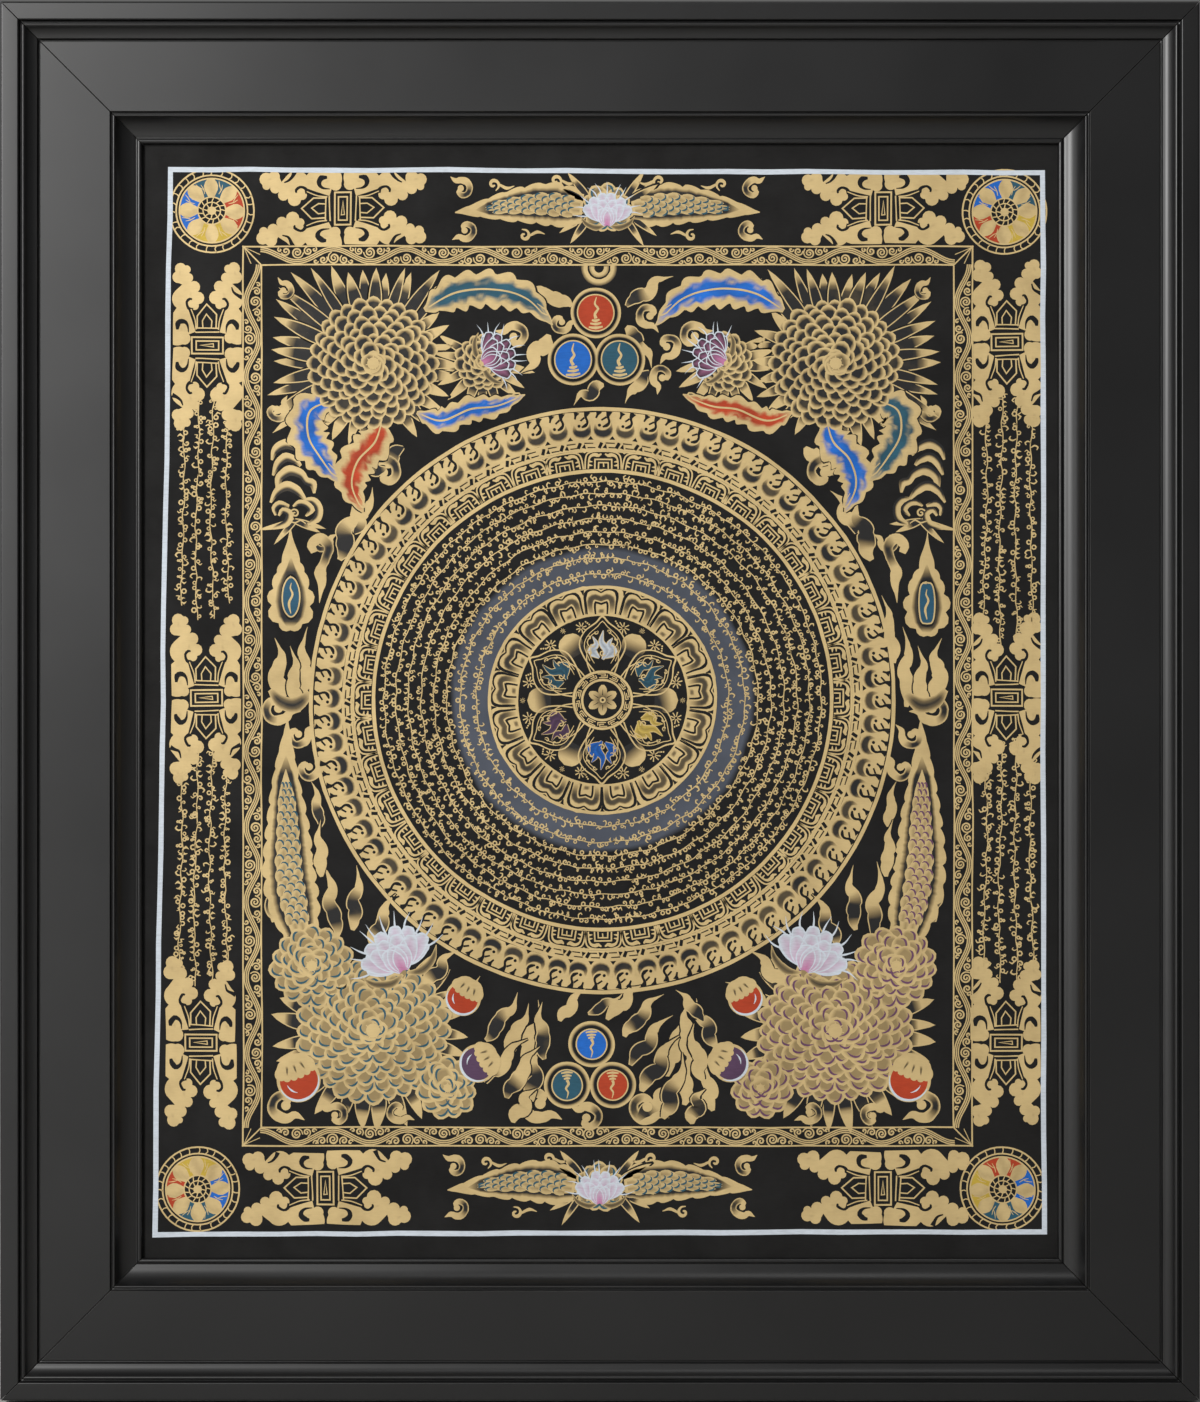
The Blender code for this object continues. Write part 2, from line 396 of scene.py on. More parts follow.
class Film:
    """Paint of one kind. Marks are laid with a small pen mesh, which is emptied into the whole."""

    def __init__(self, name, material, coloured=False):
        self.name = name
        self.material = material
        self.coloured = coloured
        self.whole = bmesh.new()
        self.pen = bmesh.new()
        for bm in (self.whole, self.pen):
            self.tone_layer(bm, make=True)
        self.tone = self.tone_layer(self.pen)
        self.marks = 0

    def tone_layer(self, bm, make=False):
        layers = bm.verts.layers.float_color if self.coloured else bm.verts.layers.float
        name = "pigment" if self.coloured else "wash"
        return layers.new(name) if make else layers[name]

    def height(self, lift):
        self.marks += 1
        return lift + HAIR * (self.marks % 8)

    def empty_pen(self, enough=PEN_FULL):
        if len(self.pen.verts) < enough:
            return
        mesh = bpy.data.meshes.new("pen")
        self.pen.to_mesh(mesh)
        self.whole.from_mesh(mesh)
        bpy.data.meshes.remove(mesh)
        self.pen.free()
        self.pen = bmesh.new()
        self.tone = self.tone_layer(self.pen, make=True)

    def finish(self):
        """Wobbles the drawing as a hand does, sets it on the cloth and gives it thickness."""
        self.empty_pen(enough=1)
        bm = self.whole
        bmesh.ops.remove_doubles(bm, verts=bm.verts, dist=0.0004)
        for vert in bm.verts:
            x, lift, z = vert.co
            swayed_x, swayed_z = x, z
            for wave, layer, far in SWAYS:
                sway = noise.noise_vector(Vector((x / wave, layer, z / wave)))
                swayed_x += far * sway.x
                swayed_z += far * sway.z
            vert.co = (PICTURE.x + swayed_x * MM, CLOTH_FRONT - lift * MM, PICTURE.z + swayed_z * MM)
        bm.normal_update()
        turned = [f for f in bm.faces if f.normal.y > 0]
        bmesh.ops.reverse_faces(bm, faces=turned)
        flat = bm.loops.layers.uv.new("OFBake")
        width, height = CLOTH_HIGH.x - CLOTH_LOW.x, CLOTH_HIGH.z - CLOTH_LOW.z
        for face in bm.faces:
            for loop in face.loops:
                co = loop.vert.co
                loop[flat].uv = ((co.x - CLOTH_LOW.x) / width, (co.z - CLOTH_LOW.z) / height)
        piece = finished_piece(self.name, bm, self.material, "painted_cloth")
        skin = piece.modifiers.new("film", "SOLIDIFY")
        skin.thickness = FILM * MM
        skin.offset = -1
        return piece


# the films that all parts of the picture share; each part has its own gold
CUTS = Film("black_line_work", flat_paint("black_paint", INK, 0.25, 0.25, 0.78))
TINTS = Film("colour_work", colour_paint(), coloured=True)
WHITES = Film("white_line_work", flat_paint("white_paint", WHITE, 0.12, 0.18, 0.7))
CHANCE = random.Random(8)     # what makes the brush uneven, the same each run

HERE = Matrix.Identity(4)
FULL_TURN = 2 * math.pi


def spot(x, z, turn=0.0, size=1.0, mirror=False):
    """The place of a motif: its middle in mm, its turn in degrees, its size, and if it is mirrored."""
    flip = -size if mirror else size
    return (Matrix.Translation((x, 0, z)) @ Matrix.Rotation(-math.radians(turn), 4, "Y")
            @ Matrix.Diagonal((flip, 1, size, 1)))


def around(radius, degrees, size=1.0):
    """A place on a circle round the mandala's middle, with the motif's top pointing outwards."""
    a = math.radians(degrees)
    return spot(MANDALA[0] + radius * math.sin(a), MANDALA[1] + radius * math.cos(a), -degrees, size)


def placed(at, points):
    return [(p.x, p.z) for p in (at @ Vector((x, 0, z)) for x, z in points)]


def whole(half):
    """A symmetric path from its left half, which ends on the middle line."""
    return half + [(-x, z) for x, z in reversed(half[:-1])]


def smooth_path(points, step):
    """A smooth curve through the points, with one about every step millimetres."""
    points = np.array(points, float)
    ends = np.vstack([2 * points[0] - points[1], points, 2 * points[-1] - points[-2]])
    path = []
    for p0, p1, p2, p3 in zip(ends, ends[1:], ends[2:], ends[3:]):
        count = max(1, int(math.ceil(np.linalg.norm(p2 - p1) / step)))
        t = np.arange(count)[:, None] / count
        bend = (2 * p0 - 5 * p1 + 4 * p2 - p3) * t ** 2 + (3 * p1 - p0 - 3 * p2 + p3) * t ** 3
        path.append(p1 + 0.5 * ((p2 - p0) * t + bend))
    path.append(points[-1:])
    return np.vstack(path)


def arc(radius, start, end, count=12, centre=(0, 0)):
    """Points round a centre; degrees run clockwise from the top."""
    angles = [math.radians(start + (end - start) * i / count) for i in range(count + 1)]
    return [(centre[0] + radius * math.sin(a), centre[1] + radius * math.cos(a)) for a in angles]


def spiral(radius, turns, start=0.0, hand=1, centre=(0, 0), inner=0.12):
    """A curl that winds inwards from its rim."""
    count = max(6, int(turns * 9))
    points = []
    for i in range(count + 1):
        t = i / count
        a = math.radians(start + hand * 360 * turns * t)
        r = radius * (1 - (1 - inner) * t ** 0.85)
        points.append((centre[0] + r * math.sin(a), centre[1] + r * math.cos(a)))
    return points


def edge_normals(path, corner_limit=2.0):
    """Unit normals along a path, lengthened at its corners so that a band keeps its width."""
    runs = np.diff(path, axis=0)
    runs /= np.maximum(np.linalg.norm(runs, axis=1), 1e-9)[:, None]
    before = np.vstack([runs[:1], runs])
    after = np.vstack([runs, runs[-1:]])
    if np.allclose(path[0], path[-1]):
        before[0], after[-1] = runs[-1], runs[0]
    middle = before + after
    middle /= np.maximum(np.linalg.norm(middle, axis=1), 1e-9)[:, None]
    stretch = 1 / np.clip((middle * after).sum(axis=1), 1 / corner_limit, 1)
    return np.column_stack([-middle[:, 1], middle[:, 0]]) * stretch[:, None]


def share(*values):
    """The least of the values, kept between 0 and 1."""
    return max(0.0, min(1.0, *values))


def stroke(film, points, width, at=HERE, lift=LINE, step=1.5, sharp=False, ribs=1, tone=None,
           ragged=0.10, edge=None):
    """A brush stroke. width holds widths spread evenly along it; ribs is how many strips lie across.

    tone is a value for the film's tone, or a function of the share along and the share across;
    edge is such a function that widens or narrows it.
    """
    size = abs(at.to_3x3().determinant()) ** 0.5
    points = placed(at, points)
    path = np.array(points) if sharp else smooth_path(points, step)
    rows = len(path) - 1
    normals = edge_normals(path)
    widths = np.interp(np.linspace(0, 1, rows + 1), np.linspace(0, 1, len(width)), width) * size / 2
    closed = np.allclose(path[0], path[-1])
    film_height = film.height(lift)
    made = bmesh.ops.create_grid(film.pen, x_segments=rows, y_segments=ribs, size=1)["verts"]
    for vert in made:
        a, b = (vert.co.x + 1) / 2, vert.co.y
        i = round(a * rows)
        x, z = path[i]
        if closed and i in (0, rows):
            wide = 1
        elif edge:
            wide = edge(a, b)
        else:
            wide = 1 + ragged * noise.noise((x / 1.7, z / 1.7, b))
        x, z = path[i] + normals[i] * widths[i] * b * wide
        vert.co = (x, film_height, z)
        set_tone(film, vert, tone, a, b)
    film.empty_pen()


def set_tone(film, vert, tone, a, b):
    value = tone(a, b) if callable(tone) else tone
    if film.coloured:
        vert[film.tone] = value if len(value) == 4 else (*value, 0.0)
    else:
        vert[film.tone] = value or 0.0


def patch(film, rows, columns, shape, at=HERE, lift=FIELD, tone=None):
    """A field of paint: a grid put where shape(a, b) says, a from 0 to 1 and b from -1 to 1."""
    height = film.height(lift)
    made = bmesh.ops.create_grid(film.pen, x_segments=rows, y_segments=columns, size=1)["verts"]
    for vert in made:
        a, b = (vert.co.x + 1) / 2, vert.co.y
        x, z = shape(a, b)
        place = at @ Vector((x, 0, z))
        vert.co = (place.x, height, place.z)
        set_tone(film, vert, tone, a, b)
    film.empty_pen()


def blob(film, x, z, radius, at=HERE, lift=FIELD, sides=14, tone=None):
    """A filled round."""
    height = film.height(lift)
    made = bmesh.ops.create_circle(film.pen, cap_ends=True, segments=sides, radius=1)["verts"]
    middle = at @ spot(x, z)
    for vert in made:
        place = middle @ Vector((vert.co.x * radius, 0, vert.co.y * radius))
        vert.co = (place.x, height, place.z)
        set_tone(film, vert, tone, 0, 0)
    film.empty_pen()


def filled(film, points, at, lift):
    """A filled outline, closed from its last point to its first."""
    height = film.height(lift)
    film.pen.faces.new([film.pen.verts.new((x, height, z)) for x, z in placed(at, points)])
    film.empty_pen()


def ring(film, radius, width, at=HERE, lift=LINE, count=None, tone=None, ragged=0.10, ribs=1):
    """A painted circle."""
    count = count or max(12, int(radius * 1.6))
    circle = arc(radius, 0, 360, count)
    circle[-1] = circle[0]
    stroke(film, circle, (width, width), at, lift, sharp=True, ribs=ribs, tone=tone, ragged=ragged)


def soft(strength, fullness=1.0):
    """Tone of a shaded stroke: dark along its middle, clear at its edges and ends."""
    return lambda a, b: strength * share(fullness * (1 - b * b)) * share(5 * a, 5 * (1 - a))


def shade(film, points, width, strength=0.95, at=HERE, lift=SHADE, step=1.8, fullness=1.0):
    """A soft dark wash over gold."""
    stroke(film, points, width, at, lift, step, ribs=4, tone=soft(strength, fullness), ragged=0)


def backed_stroke(gold, path, widths, at, lift, edge=None, steps=(1.6, 1.2), tone=None):
    """A gold stroke on a wider black one, which parts it from what lies behind."""
    stroke(CUTS, path, [w + BLACK_EDGE for w in widths], at, lift - COAT, steps[0], edge=edge)
    stroke(gold, path, widths, at, lift, steps[1], edge=edge, tone=tone)


def outline_of(shape, count):
    """A patch's edge: along its left side and back along its right one."""
    shares = [i / count for i in range(count + 1)]
    return [shape(a, -1) for a in shares] + [shape(1 - a, 1) for a in shares]


# ---------------------------------------------------------------- the mandala

MANDALA = (1.3, 0.4)
MIDDLE = spot(*MANDALA)
SLATE_HOLE, SLATE_RADIUS = 50.0, 79.0
RIM_LINE = 153.0              # the mandala's outer line
CURL_FOOT, CURL_HEAD, CURLS = 136.5, 151.5, 76
BAND_FOOT, BAND_HEAD, SLITS = 131.0, 135.6, 84
FRET_FOOT, FRET_CELLS = 121.2, 40
LOTUS_FOOT, LOTUS_HEAD, PETALS = 45.5, 58.4, 17
ROWS = (114.6, 108.4, 102.0, 95.2, 88.4, 81.8, 74.6, 66.2)
HEART_PETALS = 6
CORE_LINE, CORE_BAND = 15.1, 12.9


def circle_band(film, inner, outer, count=150):
    """A flat ring of paint round the mandala's middle."""
    ring(film, (inner + outer) / 2, outer - inner, MIDDLE, FIELD, count)


def curl(gold, at):
    """One lobe of the outer ring: a hooked head over a round foot that is shaded nearly to black."""
    tall = CURL_HEAD - CURL_FOOT
    nudge = CHANCE.uniform(-0.25, 0.25)
    foot = [(-3.4, 8.4), (-3.3, 5.4), (-1.9, 3.7), (0.7, 3.2), (3.0, 4.0), (4.2, 6.0), (4.5, 9.4)]
    shade(gold, foot, (0.8, 2.8, 4.6, 5.4, 4.9, 3.4, 0.7), CHANCE.uniform(0.86, 1.0), at, fullness=1.4)
    hook = [(3.9 + nudge, tall + 0.1), (3.0, 12.4), (3.6, 10.4), (3.7, 9.0), (2.6, 7.7), (0.4, 6.8)]
    stroke(CUTS, hook, (3.4, 1.5, 1.05, 1.5, 1.9, 0.8), at, CUT, step=1.5)
    stroke(CUTS, [(2.3, 12.0), (-0.1 + nudge, 10.3)], (1.0, 0.9), at, CUT)
    blob(CUTS, -1.1 + nudge, 7.6, 0.85, at, CUT, sides=8)
    stroke(CUTS, [(-1.5, tall), (-2.2, tall - 1.8), (-2.9 + nudge, tall - 3.6)], (3.4, 1.2, 0.9), at, CUT)
    stroke(CUTS, [(-5.9, -0.1), (-5.9, 1.9)], (3.2, 0.2), at, CUT)
    rim = [(4.7, 10.4), (4.3, 8.0), (2.8, 6.3), (0.2, 5.5), (-2.0, 6.4), (-2.8, 8.0)]
    stroke(gold, rim, (0.3, 0.7, 0.8, 0.8, 0.7, 0.3), at, step=1.8)
    stroke(gold, [(-5.2, 9.6), (-5.4, 6.0), (-5.0, 3.0), (-3.6, 1.0)], (0.3, 0.8, 0.8, 0.5), at, step=2.0)


def fret_cell(gold, at):
    """One cell of the fret: a shouldered arch over nested square arches, with hooks at its sides."""
    arch = [(-9.6, -0.3), (-9.4, 5.2), (-8.2, 7.9), (-5.0, 9.1), (-1.6, 9.3)]
    shoulder = [(-7.9, 0.0), (-7.7, 4.2), (-6.6, 6.6), (-4.4, 7.4), (-2.4, 6.9), (-0.9, 7.9)]
    for side in (-1, 1):
        half = at @ spot(0, 0, mirror=side < 0)
        stroke(gold, arch, (0.85, 0.8, 0.8, 0.8, 0.9), half, step=2.0)
        stroke(gold, shoulder, (0.8, 0.7, 1.0, 1.6, 2.1, 0.7), half, step=1.8)
        for level in (1.6, 3.6):
            stroke(gold, [(-7.7, level + 0.3), (-5.7, level)], (1.3, 0.35), half)
    stroke(gold, [(-4.5, 0), (-4.4, 4.9), (4.4, 4.9), (4.5, 0)], (0.8, 0.8), at, sharp=True)
    stroke(gold, [(-2.6, 0), (-2.5, 3.2), (2.5, 3.2), (2.6, 0)], (0.7, 0.7), at, sharp=True)
    stroke(gold, [(0.2, 0.9), (0, 3.1)], (0.7, 0.6), at)
    blob(gold, -9.9, 8.8, 0.8, at, LINE, sides=8)


def slit_band(gold):
    """The narrow gold ring that slanting slits cut."""
    circle_band(gold, BAND_FOOT, BAND_HEAD)
    for i in range(SLITS):
        turn = 360 * (i + CHANCE.uniform(-0.08, 0.08)) / SLITS
        place = around((BAND_FOOT + BAND_HEAD) / 2 + 0.3, turn)
        stroke(CUTS, [(-2.5, -1.5), (-1.1, 1.5)], (1.7, 1.7), place, CUT)
        stroke(CUTS, [(0.5, -1.5), (1.0, 0.7)], (2.3, 0.2), place, CUT)
        for start, end, z in ((0.9, 5.6, 1.25), (2.4, 6.6, -1.15)):
            stroke(CUTS, [(start, z), (end, z - 0.2)], (0.65, 0.5), place, CUT)


def outer_rings(gold):
    ring(gold, RIM_LINE, 2.0, MIDDLE, LINE, 180, ragged=0.18)
    circle_band(gold, CURL_FOOT, CURL_HEAD)
    for i in range(CURLS):
        turn = 360 * (i + CHANCE.uniform(-0.05, 0.05)) / CURLS
        curl(gold, around(CURL_FOOT, turn, 1 + CHANCE.uniform(-0.02, 0.02)))
    slit_band(gold)
    for radius, width in ((CURL_FOOT - 0.5, 1.3), (BAND_FOOT - 0.5, 0.9), (FRET_FOOT - 1.1, 1.9)):
        ring(gold, radius, width, MIDDLE, LINE, 170, ragged=0.16)
    for i in range(FRET_CELLS):
        turn = 360 * (i + CHANCE.uniform(-0.05, 0.05)) / FRET_CELLS
        fret_cell(gold, around(FRET_FOOT, turn, 1 + CHANCE.uniform(-0.02, 0.03)))


def lotus_petal(gold, at):
    """A broad petal with a notched tip: a black line, a gold band, a dark wash and a small gold heart."""
    outline = [(-7.5, -0.4), (-8.0, 4.0), (-8.6, 8.4), (-7.6, 11.4), (-4.4, 12.5), (-1.8, 12.0), (0, 11.0)]
    widths = [0.8, 1.0, 1.2, 1.7, 1.0, 0.9, 0.7]
    stroke(CUTS, whole(outline), widths + widths[-2::-1], at, CUT, step=2.0)
    shade(gold, whole([(-5.2, -0.3), (-5.8, 4.2), (-5.4, 7.4), (-3.0, 8.6), (0, 7.6)]),
          (2.2, 3.6, 4.2, 3.8, 3.6, 3.8, 4.2, 3.6, 2.2), 0.9, at, fullness=1.25)
    halo = whole([(-4.0, -0.4), (-4.3, 4.4), (-3.6, 6.9), (-1.8, 6.5), (0, 5.9)])
    stroke(gold, halo, (0.5, 0.6, 0.6), at, LINE, step=2.0)
    heart = whole([(-3.1, -0.4), (-3.4, 4.0), (-2.9, 5.9), (-1.4, 5.5), (0, 5.0)])
    stroke(CUTS, heart, (0.8, 1.1, 1.0, 1.1, 0.8), at, LINE + 0.02, step=1.8)
    shade(gold, [(-1.9, 1.3), (1.9, 1.3)], (2.4, 2.8), 0.75, at)
    stroke(CUTS, [(-10.4, 13.1), (-9.9, 11.6), (-9.5, 9.4)], (4.2, 1.6, 0.3), at, CUT)
    stroke(CUTS, [(0, 13.2), (0, 12.3)], (3.6, 0.4), at, CUT)
    stroke(CUTS, [(-8.3, -0.4), (-9.2, 8.4)], (0.35, 0.5), at, CUT)


def lotus_ring(gold):
    circle_band(gold, LOTUS_FOOT - 1.0, LOTUS_HEAD + 1.6, count=110)
    pitch = FULL_TURN * (LOTUS_FOOT + 6) / PETALS
    for i in range(PETALS):
        turn = 360 * (i + CHANCE.uniform(-0.05, 0.05)) / PETALS
        lotus_petal(gold, around(LOTUS_FOOT, turn, pitch / 19.0))
    ring(gold, LOTUS_HEAD + 0.9, 1.6, MIDDLE, LINE, 120)
    ring(gold, LOTUS_FOOT - 0.6, 1.3, MIDDLE, LINE, 100)


def star_floret(gold, at):
    """A little flower of eight short strokes."""
    for i in range(8):
        turn = 45 * i + CHANCE.uniform(-6, 6)
        stroke(gold, [(0, 0.5), (0, CHANCE.uniform(2.1, 2.7))], (0.35, 0.5), at @ spot(0, 0, turn))


def heart_petal(gold, at):
    """One of the six petals round the middle: two thin lines that meet in a point, and a fine vine."""
    outer = whole([(-4.4, 15.4), (-9.6, 22.4), (-12.2, 29.5), (-9.4, 36.0), (-3.4, 40.6), (0, 44.0)])
    stroke(gold, outer, (0.7, 0.8, 0.6, 1.0, 0.6, 0.8, 0.7), at, step=2.0)
    inner = whole([(-6.6, 20.6), (-9.6, 28.4), (-7.6, 34.0), (-2.6, 38.6), (0, 41.4)])
    stroke(gold, inner, (0.4, 0.45, 0.4, 0.5, 0.4, 0.45, 0.4), at, step=2.0)
    for side in (-1, 1):
        place = at @ spot(0, 0, mirror=side < 0)
        vine = [(4.2, 19.4), (6.4, 23.2), (6.2, 27.0), (8.0, 30.4), (5.8, 34.0), (2.4, 36.4)]
        stroke(gold, vine, (0.3, 0.55, 0.45, 0.6, 0.5, 0.2), place)
        for x, z, start in ((6.6, 24.6, 80), (5.6, 29.0, 250), (7.0, 32.6, 60), (3.6, 35.6, 300)):
            curl_path = spiral(1.5, 0.8, start + CHANCE.uniform(-20, 20), side, (x, z))
            stroke(gold, curl_path, (0.35, 0.6, 0.3), place, step=0.9)


def dark_petal(gold, at):
    """The petal between two others: a round gold dome at its tip that fades to black."""
    def dome(a, b):
        wide = 6.6 * math.sqrt(1 - (1 - min(1.0, 1.9 * a)) ** 2) - 2.8 * max(0.0, a - 0.5)
        return (wide * b, 39.4 - 12.5 * a)

    patch(gold, 10, 6, dome, at, FIELD, tone=lambda a, b: share(1.9 * (a + 0.1 * b) - 0.55))
    for side in (-1, 1):
        stroke(gold, [(side * 1.9, 15.6), (side * 3.2, 22.0), (side * 7.4, 29.0)], (0.7, 0.6, 0.3), at)


def flame_bud(gold, colour, at):
    """A painted bud of three tongues, edged with gold, in the middle of a petal."""
    dark = tuple(0.55 * c for c in colour)
    tongues = (((0, -7.0), (2.4, -2.5), (-0.5, 2.2), (0.4, 8.2)),
               ((-1.6, -6.2), (-5.6, -2.4), (-3.2, 1.0), (-5.2, 5.0)),
               ((1.6, -6.2), (5.6, -2.6), (3.4, 1.2), (5.4, 4.4)))
    for tongue in tongues:
        stroke(gold, tongue, (1.4, 5.0, 4.2, 2.6, 0.5), at, FIELD, step=1.2)
        stroke(TINTS, tongue, (0.6, 4.2, 3.4, 1.8, 0.2), at, COLOUR, step=1.2, ribs=2,
               tone=lambda a, b: colour if b else dark)
    stroke(gold, spiral(1.9, 1.1, 120, 1, (0, -3.6)), (0.5, 0.7, 0.3), at, LINE, step=0.9)


def rosette(gold, at):
    """The small flower in the very middle."""
    for i in range(6):
        leaf = lambda a, b: (2.3 * b * math.sin(math.pi * (0.08 + 0.86 * a)) ** 0.7, 1.6 + 6.4 * a)
        patch(gold, 6, 4, leaf, at @ spot(0, 0, 60 * i), FIELD, tone=lambda a, b: 0.75 * (1 - a) ** 2)
        stroke(CUTS, [(0, 2.6), (0, 5.6)], (0.5, 0.15), at @ spot(0, 0, 60 * i), CUT)
    ring(gold, 1.2, 0.9, at, LINE, 10)


def mandala_heart(gold):
    """The black middle field with its six petals."""
    buds = (WHITE, TEAL, YELLOW, BLUE, PURPLE, TEAL)
    for i in range(HEART_PETALS):
        turn = 360 * i / HEART_PETALS
        heart_petal(gold, MIDDLE @ spot(0, 0, -turn))
        dark_petal(gold, MIDDLE @ spot(0, 0, -turn - 30))
        flame_bud(gold, buds[i], MIDDLE @ spot(0, 0, -turn) @ spot(0, 28.5))
        for side, far in ((-13.5, 39.6), (13.5, 39.6), (0, 41.8)):
            star_floret(gold, around(far, turn + 30 + side, 1.3 if side else 0.6))
        for side in (-19, 19):
            for dot in range(3):
                place = around(42.0 - 0.9 * dot, turn + 30 + side + 1.1 * (dot - 1))
                blob(gold, 0, 0, 0.5, place, LINE, sides=6)
    ring(gold, CORE_LINE, 1.3, MIDDLE, LINE, 40)
    ring(gold, 10.6, 1.2, MIDDLE, LINE, 32)
    for i in range(14):
        place = around(CORE_BAND, 360 * i / 14)
        stroke(gold, [(-2.6, 0.95), (1.3, 0.95), (1.3, -0.15), (-0.9, -0.15)], (0.5, 0.5), place, sharp=True)
        stroke(gold, [(-1.9, -1.05), (2.3, -1.05), (2.3, 0.5)], (0.5, 0.5), place, sharp=True)
    rosette(gold, MIDDLE)


# ---------------------------------------------------------------- rows of small ornament

def sprig(gold, at, size):
    """What grows on one side of a running vine: a berry, a curl, a tendril, leaves or a bud."""
    kind = CHANCE.randrange(8)
    at = at @ spot(0, 0, 0, size)
    if kind < 2:
        ring(gold, 1.0, 0.62, at @ spot(0, 1.25), LINE, 7)
    elif kind == 2:
        stroke(gold, spiral(1.4, 1.1, 180, 1, (0, 1.4)), (0.5, 0.7, 0.45), at, step=1.0)
    elif kind == 3:
        ring(gold, 0.95, 0.6, at @ spot(-0.3, 1.2), LINE, 7)
        stroke(gold, [(0.7, 1.3), (1.5, 2.5), (0.6, 3.6)], (0.5, 0.65, 0.4), at, step=1.2)
    elif kind == 4:
        stroke(gold, [(0, 0), (0.6, 1.7), (-0.3, 3.0), (-1.4, 2.3)], (0.4, 0.7, 0.65, 0.4), at, step=1.1)
    elif kind == 5:
        for lean in (-1, 1):
            stroke(gold, [(0, 0), (lean * 1.5, 1.1), (lean * 0.9, 2.6)], (0.4, 1.0, 0.15), at, step=1.3)
    elif kind == 6:
        ring(gold, 0.75, 0.6, at @ spot(0.1, 0.95), LINE, 6)
        ring(gold, 0.5, 0.55, at @ spot(-0.2, 2.35), LINE, 6)
    else:
        stroke(gold, [(-1.3, 0.2), (-0.2, 1.5), (0.9, 0.6), (1.5, 2.2)], (0.4, 0.7, 0.6, 0.35), at, step=1.1)


STEM_STEP = 3.2


def vine(gold, along, length, size):
    """A running vine: a thin, gently waving stem with a sprig now on one side, now on the other.

    along(s, z) gives the place on the cloth, s along the row and z above it.
    """
    stem = []
    runs = int(length / STEM_STEP)
    for i in range(runs + 1):
        rise = 0.45 * size * math.sin(1.1 * i + CHANCE.uniform(-0.8, 0.8))
        stem.append(along(length * i / runs, rise))
    stroke(gold, stem, (0.5, 0.5), step=2.0, ragged=0.4)
    s = 0.0
    up = True
    while s < length - 1.5:
        x, z = along(s, 0)
        ahead_x, ahead_z = along(s + 0.5, 0)
        turn = math.degrees(math.atan2(ahead_z - z, ahead_x - x)) + (0 if up else 180)
        lean = CHANCE.uniform(-22, 22)
        place = spot(x, z, turn + lean, 1, CHANCE.random() < 0.5)
        sprig(gold, place, size * CHANCE.uniform(0.72, 1.12))
        s += size * CHANCE.uniform(1.5, 3.0)
        up = not up if CHANCE.random() < 0.75 else up


def ornament_rows(gold):
    """Eight rings of small ornament round the mandala."""
    for radius in ROWS:
        start = CHANCE.uniform(0, 360)

        def along(s, z):
            a = math.radians(start) + s / radius
            return (MANDALA[0] + (radius + z) * math.sin(a), MANDALA[1] + (radius + z) * math.cos(a))

        vine(gold, along, FULL_TURN * radius, 1.0)


# left, right, top, foot of the blocks of upright vines in the side strips
COLUMN_BLOCKS = ((-223.0, -191.5, 152.0, 48.0), (-224.0, -192.0, -34.0, -142.5),
                 (198.0, 230.5, 152.0, 36.0), (198.0, 230.5, -29.0, -142.5))


def ornament_columns(gold):
    """Four upright vines in each block of the side strips."""
    for left, right, top, foot in COLUMN_BLOCKS:
        for column in range(4):
            x = left + (right - left) * (column + 0.5) / 4
            middle = 1 if column in (1, 2) else 0
            start = top - CHANCE.uniform(1, 5) + 12 * middle
            end = foot + CHANCE.uniform(0, 4) - 8 * middle

            def along(s, z):
                return (x + z + 0.8 * math.sin(s / 23 + column), start - s)

            vine(gold, along, start - end, 1.1)


# ---------------------------------------------------------------- borders, wheels and thunderbolts

# corners of the pale line that bounds the painting: upper left, upper right, lower right, lower left
BORDER = ((-225.2, 278.9), (232.3, 277.1), (232.9, -278.4), (-233.6, -279.8))
BORDER_WIDTH = 2.6
SCROLL_BAND = 10.5
# left, right, top and foot of the scroll border's outer edge
SCROLL_EDGE = (-187.6, 195.8, 239.0, -233.8)
# middle of each wheel, its turn, and the colours of its quarters
WHEELS = ((-203.7, 257.4, 0, (TEAL, RED, YELLOW_SOFT, BLUE)),
          (212.2, 256.6, -45, (TEAL, YELLOW_SOFT, RED, BLUE)),
          (-211.1, -256.0, 0, (YELLOW_SOFT, BLUE, TEAL, RED)),
          (211.1, -256.0, 0, (RED, BLUE, TEAL, YELLOW_SOFT)))
# middle of each thunderbolt ornament in mm, and its turn
THUNDERBOLTS = ((-134.9, 258.4, 0), (148.6, 258.4, 0), (-143.9, -255.6, 0), (148.6, -255.6, 0),
                (-205.8, 186.4, 90), (-206.6, 1.7, 90), (-209.4, -179.4, 90),
                (213.4, 188.1, 90), (213.4, 1.7, 90), (213.2, -179.4, 90))


def pale_line():
    """The line round the whole painting, a little uneven as a brush leaves it."""
    corners = list(BORDER) + [BORDER[0]]
    path = []
    for (x0, z0), (x1, z1) in zip(corners, corners[1:]):
        steps = 22
        for i in range(steps):
            t = i / steps
            wave = 0 if i == 0 else CHANCE.uniform(-0.28, 0.28)
            path.append((x0 + (x1 - x0) * t + wave, z0 + (z1 - z0) * t - wave))
    path.append(path[0])
    stroke(WHITES, path, (BORDER_WIDTH, BORDER_WIDTH), lift=LIGHT, sharp=True, ragged=0.22)
    for side, shift in ((0.45, 0.5), (-0.5, 0.35)):
        thin = [(x * (1 + side / 230), z * (1 + side / 280)) for x, z in path]
        stroke(WHITES, thin, (shift, shift), lift=LIGHT + 0.02, sharp=True, ragged=0.5)


